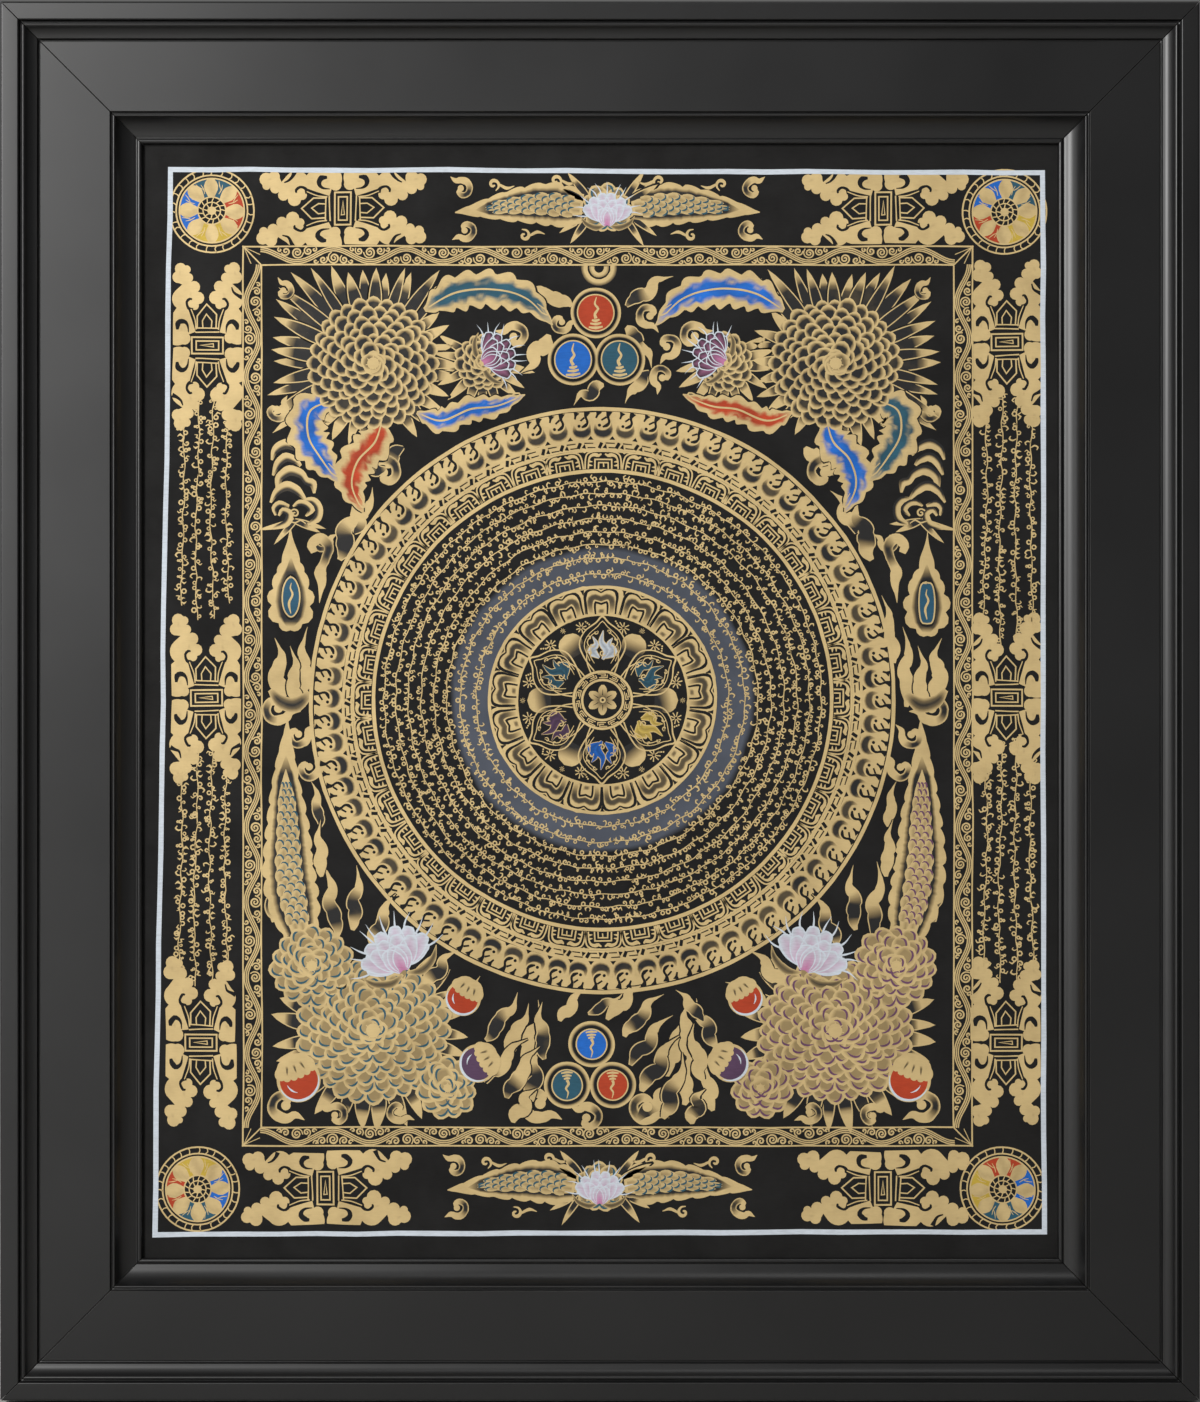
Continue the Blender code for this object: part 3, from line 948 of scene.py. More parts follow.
def wheel_hub(gold, at):
    blob(CUTS, 0, 0, 7.4, at, CUT, sides=30)
    ring(gold, 7.2, 0.65, at, LINE, 28)
    ring(gold, 4.5, 0.6, at, LINE, 20)
    for i in range(13):
        turn = 360 * (i + CHANCE.uniform(-0.1, 0.1)) / 13
        stroke(gold, [(0, 4.5), (0.5, 5.8), (1.1, 7.1)], (0.55, 0.5), at @ spot(0, 0, turn))
    for i in range(8):
        turn = 360 * (i + CHANCE.uniform(-0.1, 0.1)) / 8
        stroke(gold, [(0, 2.2), (0.3, 3.3), (0.6, 4.4)], (0.6, 0.5), at @ spot(0, 0, turn))
    blob(gold, 0, 0, 2.3, at, LINE, sides=10)


def wheel(gold, at, colours):
    """An eight-petalled wheel in a ring of ticks, with a colour in each quarter."""
    for radius, width in ((22.0, 0.85), (18.6, 0.8)):
        ring(gold, radius, width, at, LINE, 44)
    for i in range(27):
        turn = 360 * (i + CHANCE.uniform(-0.15, 0.15)) / 27
        bow = CHANCE.uniform(0.2, 1.0)
        tick = [(-0.2, 18.6), (bow, 20.2), (0.1, 22.0)]
        stroke(gold, tick, (0.7, 0.5, 0.6), at @ spot(0, 0, turn))
    blob(gold, 0, 0, 17.3, at, FIELD, sides=48)

    def field(a, b):
        angle, far = math.radians(20.5 * b), 7.6 + 9.0 * a
        return (math.sin(angle) * far, math.cos(angle) * far)

    for quarter, colour in enumerate(colours):
        for eighth in (-22.5, 22.5):
            turn = 90 * quarter + eighth
            place = at @ spot(0, 0, -turn)
            patch(TINTS, 4, 6, field, place, COLOUR, tone=colour)
            twig = CHANCE.choice((1, -1))
            stroke(gold, [(0, 9.4), (0.4 * twig, 12.0), (0, 14.6)], (0.3, 0.5, 0.25), place, step=1.3)
            stroke(gold, [(0, 12.0), (-1.4 * twig, 13.8), (-2.4 * twig, 15.8)], (0.3, 0.5, 0.25), place,
                   step=1.2)
    for i in range(8):
        wide = CHANCE.uniform(3.5, 4.1)
        petal = lambda a, b: (wide * b * (0.42 + 0.58 * math.sin(math.pi * a ** 1.15)), 7.2 + 9.7 * a)
        patch(gold, 5, 4, petal, at @ spot(0, 0, 45 * i + CHANCE.uniform(-3, 3)), CUT,
              tone=lambda a, b: 0.16 * max(0.0, math.sin(3 * a + 2 * b + i)))
    ring(gold, 16.9, 0.75, at, LINE, 44)
    wheel_hub(gold, at)


def scalloped(corners, steps=4, uneven=False):
    """A closed outline of round arcs between corners; a corner's third number is the swell of its arc."""
    if uneven:
        corners = [(x + CHANCE.uniform(-0.5, 0.5), z + CHANCE.uniform(-0.4, 0.4), swell)
                   for x, z, swell in corners]
    loop = corners + corners[:1]
    area = sum(p[0] * q[1] - q[0] * p[1] for p, q in zip(loop, loop[1:]))
    outwards = 1 if area > 0 else -1
    points = []
    for p, q in zip(loop, loop[1:]):
        half_turn = 2 * math.atan(3 * p[2]) if p[2] else 0.01
        dx, dz = q[0] - p[0], q[1] - p[1]
        for i in range(steps):
            angle = half_turn * (2 * i / steps - 1)
            t = 0.5 + 0.5 * math.sin(angle) / math.sin(half_turn)
            out = outwards * (math.cos(angle) - math.cos(half_turn)) / (2 * math.sin(half_turn))
            points.append((p[0] + dx * t + dz * out, p[1] + dz * t - dx * out))
    return points


# one cloud of four beside a thunderbolt: its notches in mm from the middle, and the swell of each lobe
BOLT_CLOUD = [(-7.0, 6.8, 0.0), (-5.8, 10.2, 0.26), (-1.0, 13.8, 0.06), (-1.0, 19.0, 0.0),
              (-17.6, 19.2, 0.0), (-19.4, 17.4, 0.16), (-29.2, 17.4, 0.0), (-32.6, 14.2, 0.0),
              (-33.2, 15.8, 0.28), (-39.2, 18.0, 0.32), (-42.8, 12.2, 0.3), (-38.6, 10.8, 0.24),
              (-33.4, 8.8, 0.32), (-28.8, 5.2, 0.34), (-21.8, 4.8, 0.26), (-19.8, 8.8, 0.0),
              (-19.2, 10.4, 0.0)]


def bolt_cloud(gold, at):
    """A solid gold cloud with rounded lobes and small hooks cut into it."""
    filled(gold, scalloped(BOLT_CLOUD, steps=6, uneven=True), at, FIELD)
    shift = CHANCE.uniform(-0.8, 0.8)
    comma = [(-8.4, 16.6), (-11.0 + shift, 16.2), (-12.7, 14.2), (-12.2, 12.2), (-10.2, 10.8), (-6.8, 10.4)]
    stroke(CUTS, comma, (1.4, 2.9, 2.6, 1.6, 0.9, 0.4), at, CUT, step=1.1)
    heel = [(-18.6, 8.2), (-19.8, 10.6), (-22.2 + shift, 11.4), (-24.6, 9.8), (-24.4, 8.4)]
    stroke(CUTS, heel, (2.4, 1.6, 1.2, 1.5, 0.9), at, CUT, step=1.2)
    if CHANCE.random() < 0.6:
        wedge = [(-25.6, 19.4), (-26.6, 17.0), (-28.4 + shift, 14.6), (-31.0, 13.6)]
        stroke(CUTS, wedge, (2.6, 1.7, 1.2, 0.6), at, CUT, step=1.2)
    for x, z in ((-38.6, 15.0), (-8.6, 14.0), (-27.0, 9.0)):
        shade(gold, [(x - 1.6, z), (x + 1.6, z + 0.6)], (1.2, 2.0), 0.10, at)


def thunderbolt(gold, at):
    """The ornament of a bound double sceptre, in thin lines, between four clouds."""
    for mirror in (False, True):
        for turn in (0, 180):
            size = CHANCE.uniform(0.97, 1.03)
            bolt_cloud(gold, at @ spot(0, 0, turn, size, mirror))
    for wide, tall, thick in ((4.2, 8.6, 0.9), (2.3, 6.2, 0.75)):
        box = [(-wide, -tall), (-wide, tall), (wide, tall), (wide, -tall), (-wide, -tall)]
        stroke(gold, box, (thick, thick), at, sharp=True)
    stroke(gold, [(-0.8, -3.4), (0.1, 4.0), (0.9, -3.2), (-0.8, -3.4)], (0.55, 0.55), at, sharp=True)
    for side in (-1, 1):
        place = at @ spot(0, 0, 0, 1, side < 0)
        for x, tall in ((6.9, 6.6), (9.0, 6.2)):
            lean = CHANCE.uniform(-0.4, 0.4)
            stroke(gold, [(x - lean, -tall), (x + lean, tall)], (0.75, 0.6, 0.75), place)
        prong = [(9.0, 5.6), (15.4, 5.6), (21.6, 0.2), (16.2, -5.2), (9.0, -4.8)]
        stroke(gold, prong, (0.75, 0.75), place, sharp=True)
        inner = [(9.2, 2.5), (12.8, 2.7), (16.4, 0.4), (12.8, -2.6), (9.2, -2.2)]
        stroke(gold, inner, (0.65, 0.65), place, sharp=True)
        for flip in (-1, 1):
            stroke(gold, [(8.2, flip * 6.2), (13.2, flip * 6.8), (19.0, flip * 9.0)], (0.7, 0.6, 0.5), place)


STEM_RISE, STEM_POINTS = 3.3, 12      # the stem's swing in mm, and its points in each wave
# the curls in one hollow of the stem: how far along it, how far across, radius and turns
SWIRLS = ((0, 1.5, 3.3, 2.0), (-5.6, 2.3, 2.4, 1.5), (5.6, 2.3, 2.4, 1.5), (9.2, 3.1, 1.4, 1.0),
          (-9.2, 3.1, 1.4, 1.0))


def scroll_run(gold, at, length, count):
    """One side of the scroll border: a wavy stem of three lines, with curls in each hollow."""
    half = SCROLL_BAND / 2
    for z, thick in ((half - 0.4, 0.8), (-half + 0.4, 0.8)):
        inset = 0 if z > 0 else SCROLL_BAND
        line = [(-length / 2 + inset + (length - 2 * inset) * i / 30, z) for i in range(31)]
        stroke(gold, line, (thick, thick), at, sharp=True, ragged=0.25)
    pitch = length / count
    inner_ends = length / 2 - SCROLL_BAND * 0.75
    for above in (-1.0, 0.0, 1.0):
        stem = []
        for i in range(count * STEM_POINTS + 1):
            x = -length / 2 + pitch * i / STEM_POINTS
            a = FULL_TURN * i / STEM_POINTS
            slope = STEM_RISE * FULL_TURN / pitch * math.cos(a)
            if abs(x) <= inner_ends:
                away = above / math.hypot(1, slope)
                stem.append((x - away * slope, STEM_RISE * math.sin(a) + away))
        stroke(gold, stem, (0.64, 0.64), at, step=1.7, ragged=0.2)
    for i in range(2 * count):
        x = -length / 2 + pitch * (i + 0.5) / 2
        side = -1 if i % 2 == 0 else 1
        if abs(x) > length / 2 - SCROLL_BAND:
            continue
        for away, above, radius, turns in SWIRLS:
            place = at @ spot(x + away + CHANCE.uniform(-0.3, 0.3), side * above, 0,
                              CHANCE.uniform(0.96, 1.04), CHANCE.random() < 0.5)
            swirl = spiral(radius, turns, 60 + CHANCE.uniform(-50, 50), 1)
            stroke(gold, swirl, (0.6, 0.86, 0.65), place, step=1.2)


def scroll_border(gold):
    left, right, top, foot = SCROLL_EDGE
    half = SCROLL_BAND / 2
    across, up = (left + right) / 2, (top + foot) / 2
    scroll_run(gold, spot(across, top - half), right - left, 10)
    scroll_run(gold, spot(across, foot + half, 180), right - left, 10)
    scroll_run(gold, spot(left + half, up, 90), top - foot, 12)
    scroll_run(gold, spot(right - half, up, -90), top - foot, 12)
    for x, z, dx, dz in ((left, top, 1, -1), (right, top, -1, -1), (right, foot, -1, 1), (left, foot, 1, 1)):
        mitre = [(x, z), (x + dx * SCROLL_BAND, z + dz * SCROLL_BAND)]
        stroke(gold, mitre, (0.7, 0.7))
        for side in (-1, 1):
            ray = [(x + dx * 0.8, z + dz * 0.8), (x + dx * (7 - 2.4 * side), z + dz * (7 + 2.4 * side))]
            stroke(gold, ray, (0.3, 0.45))


# ---------------------------------------------------------------- flames, clouds and jewels

SMOKE = 0.98                  # tone of a motif where it is smoked darkest


def lobed(lobes, phase, deep=0.36):
    """Edges that swell in round lobes with sharp notches between, out of step on the two sides."""
    def edge(a, b):
        t = (a * lobes + phase + (0.5 if b > 0 else 0)) % 1
        return 1 - deep + 1.25 * deep * math.sin(math.pi * t ** 0.7) ** 0.6
    return edge


def tier(level):
    """Height of a motif that may overlap its neighbours: one of four tiers over the field."""
    return FIELD + 0.026 * (level % 4)


def flame(gold, at, length, width, level=0, smoke=0.6):
    """A flame from its foot at the origin upwards: round lobes, a leaning tip, often smoked inside."""
    sway = CHANCE.choice((-1, 1)) * width * CHANCE.uniform(0.14, 0.24)
    path = [(0, 0), (-0.6 * sway, 0.2 * length), (0.8 * sway, 0.45 * length), (-0.7 * sway, 0.68 * length),
            (0.2 * sway, 0.85 * length), (1.4 * sway, length)]
    widths = [w * width for w in (0.26, 0.6, 0.88, 1.02, 1.0, 0.9, 0.82, 0.66, 0.44, 0.22, 0.10, 0.02)]
    edge = lobed(max(2.0, length / 11), CHANCE.random(), 0.32)
    lift = tier(level)
    backed_stroke(gold, path, widths, at, lift, edge)
    if CHANCE.random() < smoke:
        start = CHANCE.uniform(-0.2, 0.2)
        end = start + CHANCE.uniform(0.4, 0.6)
        smoked = lambda a, b: SMOKE * share(7 * (a - start), 6 * (end - a))
        inner = [max(0.0, w - 1.2) for w in widths]
        stroke(gold, path, inner, at, lift + COAT, step=1.2, edge=edge, tone=smoked)


def flames(gold, at, rows, smoke=0.6):
    """Flames from rows of x, z, length, turn and width."""
    for level, (x, z, length, turn, width) in enumerate(rows):
        flame(gold, at @ spot(x, z, turn), length, width, level, smoke)


def curly_cloud(gold, at, level=0):
    """A fat cloud curl with a round head, smoked in its bend, that runs out in a wavy tail."""
    path = [(1.8, 2.2), (3.0, 5.8), (-0.8, 8.4), (-5.8, 5.6), (-6.8, 0.0), (-3.0, -4.6), (2.6, -5.6),
            (7.4, -3.8), (13.4, -6.8)]
    widths = (2.4, 5.2, 5.8, 5.8, 6.2, 7.0, 6.0, 4.4, 0.3)
    edge = lobed(3.6, CHANCE.random(), 0.16)
    lift = tier(level)
    backed_stroke(gold, path, widths, at, lift, edge)
    bend = CHANCE.uniform(0.34, 0.46)
    smoked = lambda a, b: SMOKE * share(7 * (a - bend + 0.2), 7 * (bend + 0.2 - a), 2.2 * (1 - abs(b)))
    inner = [max(0.2, w - 0.7) for w in widths]
    stroke(gold, path, inner, at, lift + COAT, step=1.8, ribs=4, tone=smoked, edge=edge)
    blob(gold, 1.6, 2.2, 3.0, at, lift + 2 * COAT)


def clouds(gold, at, rows):
    """Curly clouds from rows of x, z, turn and size; a negative size mirrors the cloud."""
    for level, (x, z, turn, size) in enumerate(rows):
        curly_cloud(gold, at @ spot(x, z, turn, abs(size), size < 0), level)


# a stack of bowed clouds and the curls under it: paths in mm from its middle, and their widths
BOWS = (([(-12.5, 28.0), (-10.5, 33.4), (-5.0, 36.5), (1.0, 34.6), (5.0, 30.5)],
         (1.2, 4.4, 5.4, 4.4, 1.2)),
        ([(-11.8, 20.0), (-9.0, 26.4), (-4.4, 29.6), (0.5, 27.8), (3.2, 25.0)],
         (1.2, 4.0, 5.0, 4.0, 1.6)),
        ([(-9.0, 13.0), (-8.2, 19.0), (-2.5, 22.6), (3.5, 20.6), (6.4, 17.0), (9.8, 15.6), (10.6, 10.5)],
         (2.6, 4.6, 5.6, 5.0, 3.6, 4.6, 1.2)),
        ([(-13.0, 5.5), (-9.5, 11.4), (-4.0, 14.4), (1.5, 12.0), (6.0, 7.0)], (1.2, 4.0, 5.4, 4.6, 1.6)),
        ([(5.0, 7.0), (10.0, 6.6), (13.0, 2.6), (12.2, -3.0), (7.0, -6.4)], (1.6, 4.0, 4.2, 4.2, 1.2)),
        ([(-1.0, 3.4), (2.5, 5.4), (6.5, 4.6), (9.0, 1.4), (6.0, -1.9)], (1.0, 3.2, 3.4, 3.6, 1.0)),
        ([(-3.0, 3.6), (-8.2, 5.0), (-11.0, 2.4), (-10.2, -1.4)], (1.6, 3.4, 3.0, 1.0)),
        ([(-8.6, -1.6), (-6.4, 1.4), (-2.8, -0.6), (-4.4, -5.6), (-11.8, -8.6)],
         (1.2, 3.4, 4.2, 3.8, 1.2)))
LEFT_TURNING_BOW = 6          # the one whose brim is on its other side


def cloud_stack(gold, at):
    """Bowed clouds one over the other, smoked under their brims, on curls and pointed leaves."""
    for turn, length in ((98, 17), (114, 15), (222, 17), (252, 20)):
        leaf = at @ spot(0, -4.5) @ spot(0, 0, -turn + CHANCE.uniform(-4, 4))
        pointed_leaf(gold, leaf, length, 2.2, 0.4)
    brim = lambda a, b: SMOKE * share(-2.6 * b) * share(6 * a, 6 * (1 - a))
    for i, (bow, widths) in enumerate(BOWS):
        smoked = brim if i != LEFT_TURNING_BOW else lambda a, b: brim(a, -b)
        stroke(gold, bow, widths, at, tier(i % 2 + 1), step=1.5, ribs=4, tone=smoked,
               edge=lobed(5, 0.3, 0.06))
    stroke(gold, spiral(2.6, 1.3, 300, 1, (0, -0.4)), (0.8, 1.0, 0.7), at, LINE, step=1.0)
    stroke(gold, [(-3.0, -4.6), (0.4, -5.6), (3.0, -4.2), (6.0, -6.0)], (0.6, 0.8, 0.8, 0.5), at, LINE)


def jewel(gold, x, z, colour, turn=0, outer=13.4, disc=9.8):
    """A round jewel in a shaded gold ring, with a small flame over three steps on it."""
    at = spot(x, z)
    blob(gold, 0, 0, outer, at, JEWEL, sides=44)
    inside = disc + 0.5
    ring(gold, (outer - 0.9 + inside) / 2, outer - 0.9 - inside, at, JEWEL + COAT, 40,
         tone=lambda a, b: 1.0 if b < 0.1 else 0.35 if b < 0.6 else 0.0, ribs=4, ragged=0.2)
    ring(CUTS, disc + 0.9, 1.5, at, JEWEL + 0.026, 40, ragged=0.35)
    blob(TINTS, 0, 0, disc, at, JEWEL + 0.04, sides=40, tone=colour)
    ring(gold, disc - 0.1, 0.7, at, LIGHT + 0.02, 40)
    lean = CHANCE.uniform(-0.5, 0.5)
    tongue = [(0.1, -3.2), (lean - 0.9, -0.6), (lean + 0.8, 2.2), (-0.5, 4.8), (0.4, 8.6)]
    mark = at @ spot(0, 0, turn, disc / 10)
    stroke(gold, tongue, (1.9, 1.5, 1.2, 1.0, 0.4), mark, LIGHT + 0.02, step=1.1, ragged=0.25)
    for height, wide in ((-8.0, 7.6), (-6.0, 6.0), (-4.2, 4.2)):
        step_line = [(-wide / 2, height + 0.4 * lean), (0, height - 0.2), (wide / 2, height + 0.5)]
        stroke(gold, step_line, (0.9, 1.6, 0.9), mark, LIGHT + 0.02, step=1.5)


def drop_jewel(gold, x, z, blunt):
    """A tall teal jewel beside the mandala, in a pointed flame that is smoked black round it."""
    at = spot(x, z)
    left = [(0.0, -17.4, 0.2), (-6.0, -13.8, 0.24), (-9.8, -4.6, 0.22), (-9.2, 4.6, 0.12), (-7.2, 13.0, 0.1),
            (-4.4, 18.4, 0.04), (-3.0, 25.4, -0.03), (-0.3, 38.0, 0.0)]
    right = [(-x, z, before[2]) for (x, z, _), before in zip(left[1:], left)]
    outline = left + [(0.3, 38.0, -0.03)] + right[-2::-1]
    filled(gold, scalloped(outline, uneven=True), at, FIELD)

    def hollow_round(a, b):
        half = np.interp(a, (0.0, 0.12, 0.35, 0.55, 0.7, 0.85, 1.0), (2.2, 6.4, 8.4, 7.6, 5.4, 2.4, 0.3))
        return (half * b, -15.4 + 36.0 * a)

    patch(gold, 14, 8, hollow_round, at, SHADE,
          tone=lambda a, b: share(3.6 * (1 - abs(b)), 12 * a, 5 * (1 - a)))
    wide, tall, fullness = (4.2, 10.8, 0.45) if blunt else (4.6, 10.4, 1.1)
    oval = lambda a, b: (wide * b * math.sin(math.pi * a) ** fullness, -tall * math.cos(math.pi * a))
    patch(CUTS, 12, 4, lambda a, b: tuple(1.16 * c for c in oval(a, b)), at, COLOUR)
    patch(TINTS, 12, 4, oval, at, CUT, tone=TEAL_LIGHT)
    stroke(gold, outline_of(oval, 14), (0.75, 0.75), at, LINE, sharp=True)
    tongue = [(0, -8.6), (-0.9, -3.2), (0.8, 1.2), (-0.4, 4.6), (0.2, 7.4)]
    stroke(gold, tongue, (0.4, 1.3, 1.1, 0.9, 0.3), at, LINE, step=1.2)


def hooked_drop(gold, at):
    """A drop that hangs from a hooked head and is smoked at its bend."""
    path = [(-2.6, 26.4), (-3.8, 30.6), (0.6, 33.8), (5.0, 29.6), (3.2, 22.6), (0.6, 16.8), (1.2, 10.6),
            (0.5, 5.0), (0, 0)]
    widths = (3.6, 5.4, 5.6, 5.6, 5.0, 4.6, 6.4, 4.6, 1.8, 0.3)
    backed_stroke(gold, path, widths, at, FIELD, steps=(1.5, 1.2))
    smoked = lambda a, b: 0.95 * share(2.4 * (1 - abs(b)), 9 * (a - 0.24), 9 * (0.58 - a))
    stroke(gold, path, [w - 0.3 for w in widths], at, SHADE, step=1.2, ribs=6, tone=smoked)


# ---------------------------------------------------------------- leaves and blooms

def faded(colour, start, end):
    """Tone of a painted leaf: its colour fades to gold at its edges, in ragged brush marks."""
    def tone(a, b):
        streak = noise.noise((a * 17 + colour[2] * 9, b * 3.1, colour[0] * 5))
        edge = abs(b) + 0.5 * streak
        fade = 1.0 if abs(b) > 0.97 else share((edge - start) / (end - start))
        fade = max(fade, 1 - share(9 * a, 6 * (1 - a)))
        shade_of = 1 + 0.35 * noise.noise((a * 5, b * 1.3, 4.4))
        mixed = [c * shade_of * (1 - fade) + g * fade for c, g in zip(colour, GOLD)]
        return (*mixed, fade)
    return tone


def plume(gold, path, width, colour, at):
    """A long leaf: a ragged gold margin, soft-edged colour and a gold midrib that ends in a loop."""
    lobes = max(5, int(len(path) * 1.7))
    phase = CHANCE.random()

    def margin(a, b):
        t = (a * lobes + (phase if b > 0 else phase + 0.5)) % 1
        return 0.80 + 0.30 * math.sin(math.pi * t ** 1.9) ** 0.8

    shape = [w * width for w in (0.12, 0.62, 0.92, 1.0, 0.96, 1.0, 0.94, 0.86, 0.66, 0.36, 0.04)]
    backed_stroke(gold, path, shape, at, PLUME, margin, (1.6, 1.1),
                  tone=lambda a, b: 0.12 * abs(noise.noise((a * 20, b, 1.0))))
    stroke(TINTS, path, [0.70 * w for w in shape], at, PLUME + COAT, step=1.3, ribs=8, edge=margin,
           tone=faded(colour, 0.55, 0.95))
    rib = smooth_path(path, 3.0)
    rib = [tuple(p) for p in rib[1:int(len(rib) * 0.92)]]
    stroke(gold, rib, (0.6, 1.05, 1.0, 0.9, 0.7), at, LINE)
    tip, before = Vector(rib[-1]), Vector(rib[-4])
    along = (tip - before).normalized()
    across = Vector((-along.y, along.x))
    loop = [tuple(tip + along * ahead + across * aside)
            for ahead, aside in ((0, 0), (3, 1.2), (1.4, 2.6), (-5, 1.7))]
    stroke(gold, loop, (0.7, 0.75, 0.7, 0.35), at, LINE, step=1.2)


def towards_rim(a, b):
    """Shares along and across a petal, drawn towards its rim, where its tone changes most."""
    return 1 - (1 - a) ** 1.7, math.copysign(1 - (1 - abs(b)) ** 1.6, b)


def scale_shape(wide, tall):
    """A rounded petal that is widest past its middle."""
    def shape(a, b):
        a, b = towards_rim(a, b)
        half = wide * (0.62 + 0.38 * math.sin(math.pi * min(1.0, 0.1 + 0.7 * a)))
        return (half * b, tall * a * (1 - 0.34 * b * b))
    return shape


def hollow(strength, rim=0.15):
    """Tone of a petal that is black inside and gold at its rim."""
    def tone(a, b):
        a, b = towards_rim(a, b)
        near = min(1 - a, 0.6 * (1 - abs(b)))
        return strength * share((near - 0.1) / rim)
    return tone


def bloom(gold, at, radius, rings, squash=1.0, strength=0.97, arcs=None, core=0.1,
          foot=BLOOM_FOOT):
    """A bloom of overlapping petals in rings, the outermost laid first.

    arcs is the colour of the line drawn inside each petal's rim, or None.
    """
    blob(gold, 0, 0, radius * 0.5, at, foot - COAT, sides=20, tone=0.75)
    for i in range(rings):
        far = radius * (1 - i / rings) ** 0.92 * (1 - core) + radius * core * 0.4
        tall = radius / rings * 1.9
        count = max(5, int(FULL_TURN * far / (tall * 0.78)))
        for j in range(count):
            turn = 360 * (j + 0.5 * (i % 2) + CHANCE.uniform(-0.06, 0.06)) / count
            size = CHANCE.uniform(0.9, 1.12)
            wide = FULL_TURN * far / count * 0.62 * size
            place = at @ Matrix.Diagonal((1, 1, squash, 1)) @ spot(0, 0, -turn) @ spot(0, far - tall * 0.95)
            last = 0.011 if j == count - 1 else 0.0
            lift = foot + PETAL_STEP * i + last
            deep = strength * (1 if i < rings - 1 else 0.7)
            patch(gold, 4, 6, scale_shape(wide, tall * size), place, lift, tone=hollow(deep))
            if arcs:
                side = 1 if math.sin(math.radians(turn)) > 0 else -1
                edge = []
                for t in (-20, 10, 40, 70, 100):
                    a = math.radians(t)
                    edge.append((side * wide * 0.55 * math.sin(a), tall * size * (0.42 + 0.4 * math.cos(a))))
                stroke(TINTS, edge, (0.2, 1.0, 1.15, 0.9, 0.15), place, lift + COAT, step=1.5, tone=arcs)
    middle = radius * core
    top = foot + PETAL_STEP * rings + 0.005
    blob(gold, 0, 0, middle * 1.25, at, top, sides=14)
    for i in range(7):
        a = FULL_TURN * i / 7
        stroke(gold, [(0, 0), (middle * 1.6 * math.sin(a), middle * 1.6 * math.cos(a) * squash)],
               (0.8, 0.5), at, top + COAT)


def pointed_leaf(gold, at, length, wide, dark=0.45, level=0):
    """A pointed gold leaf whose foot is smoked black between thin gold edges."""
    belly = lambda a: 0.45 + 0.55 * math.sin(math.pi * min(1, 0.12 + 0.75 * a)) ** 0.9
    half = lambda a: wide * belly(a) * (1 - a) ** 0.5
    bow = CHANCE.uniform(-0.5, 0.5) * wide
    lift = FIELD + 0.022 * level
    under = lambda a, b: (half(a) * b + 0.7 * b + bow * a * a, (length + 1.4) * a)
    shape = lambda a, b: (half(a) * b + bow * a * a, length * a)
    inner = lambda a, b: (max(0.1, half(a) - 0.6) * b + bow * a * a, length * a)
    smoked = lambda a, b: SMOKE * share((dark + 0.12 - a) * 7)
    patch(CUTS, 6, 1, under, at, lift - 0.011)
    patch(gold, 7, 1, shape, at, lift)
    patch(gold, 9, 1, inner, at, lift + 0.011, tone=smoked)


def leaf_fan(gold, at, foot, reach, start, end, count, wide=3.6, dark=(0.35, 0.6)):
    """Pointed leaves that spread like rays from behind a bloom; reach is a length, or gives one for a
    turn in degrees."""
    for i in range(count):
        turn = start + (end - start) * (i + CHANCE.uniform(-0.12, 0.12)) / max(1, count - 1)
        far = reach(turn) if callable(reach) else reach
        length = (far - foot) * CHANCE.uniform(0.9, 1.04)
        leaf = at @ spot(0, 0, -turn) @ spot(0, foot)
        pointed_leaf(gold, leaf, length, wide * CHANCE.uniform(0.85, 1.15),
                     CHANCE.uniform(*dark), i % 2)


def painted_petal(at, wide, tall, tip, lift):
    """A lotus petal, pink at its foot, in a fine white outline."""
    def shape(a, b):
        return (wide * b * math.sin(math.pi * (0.12 + 0.78 * a)) ** 0.75, tall * a + 0.6 * (1 - b * b) * a)

    def tone(a, b):
        t = share(a * 0.9 + 0.35 * abs(b) - 0.1)
        return tuple(f * (1 - t) + c * t for f, c in zip(PINK, tip))

    patch(TINTS, 6, 6, shape, at, lift, tone=tone)
    stroke(WHITES, outline_of(shape, 8), (0.3, 0.6, 0.6, 0.75, 0.6, 0.6, 0.3), at, lift + 0.02, step=1.8)


# rows of a lotus's petals, the hindmost first: their length in mm and their turns in degrees
LOTUS_ROWS = ((15.0, (-78, -56, 56, 78)), (17.5, (-64, -38, -13, 13, 38, 64)), (15.0, (-42, -16, 16, 42)),
              (11.5, (-20, 20, 0)))


def lotus(gold, at, size, tip=WHITE):
    """A painted lotus seen from the side: rows of petals, stamens and two long sepals."""
    for i in range(11):
        turn = -84 + 168 * i / 10 + CHANCE.uniform(-4, 4)
        ray = [(0, 10), (CHANCE.uniform(-1, 1), 18), (CHANCE.uniform(-2, 2), 23.5)]
        stroke(WHITES, ray, (0.4, 0.95, 0.1), at @ spot(0, 0, -turn, size), LIGHT, step=1.6)
    for i, (length, turns) in enumerate(LOTUS_ROWS):
        for turn in turns:
            place = at @ spot(0, -1.5 * i, 0, size) @ spot(0, 0, -turn - CHANCE.uniform(-3, 3))
            painted_petal(place, 4.3, length, tip, LIGHT + 0.05 + PETAL_STEP * i)
    for side in (-1, 1):
        sepal = [(side * 1.0, -5.6), (side * 7.5, -7.4), (side * 14.5, -4.6), (side * 18.5, 0.4)]
        stroke(gold, sepal, (1.2, 4.2, 3.2, 0.3), at @ spot(0, 0, 0, size), LIGHT + 0.03, step=1.6, ribs=4,
               tone=soft(0.85))


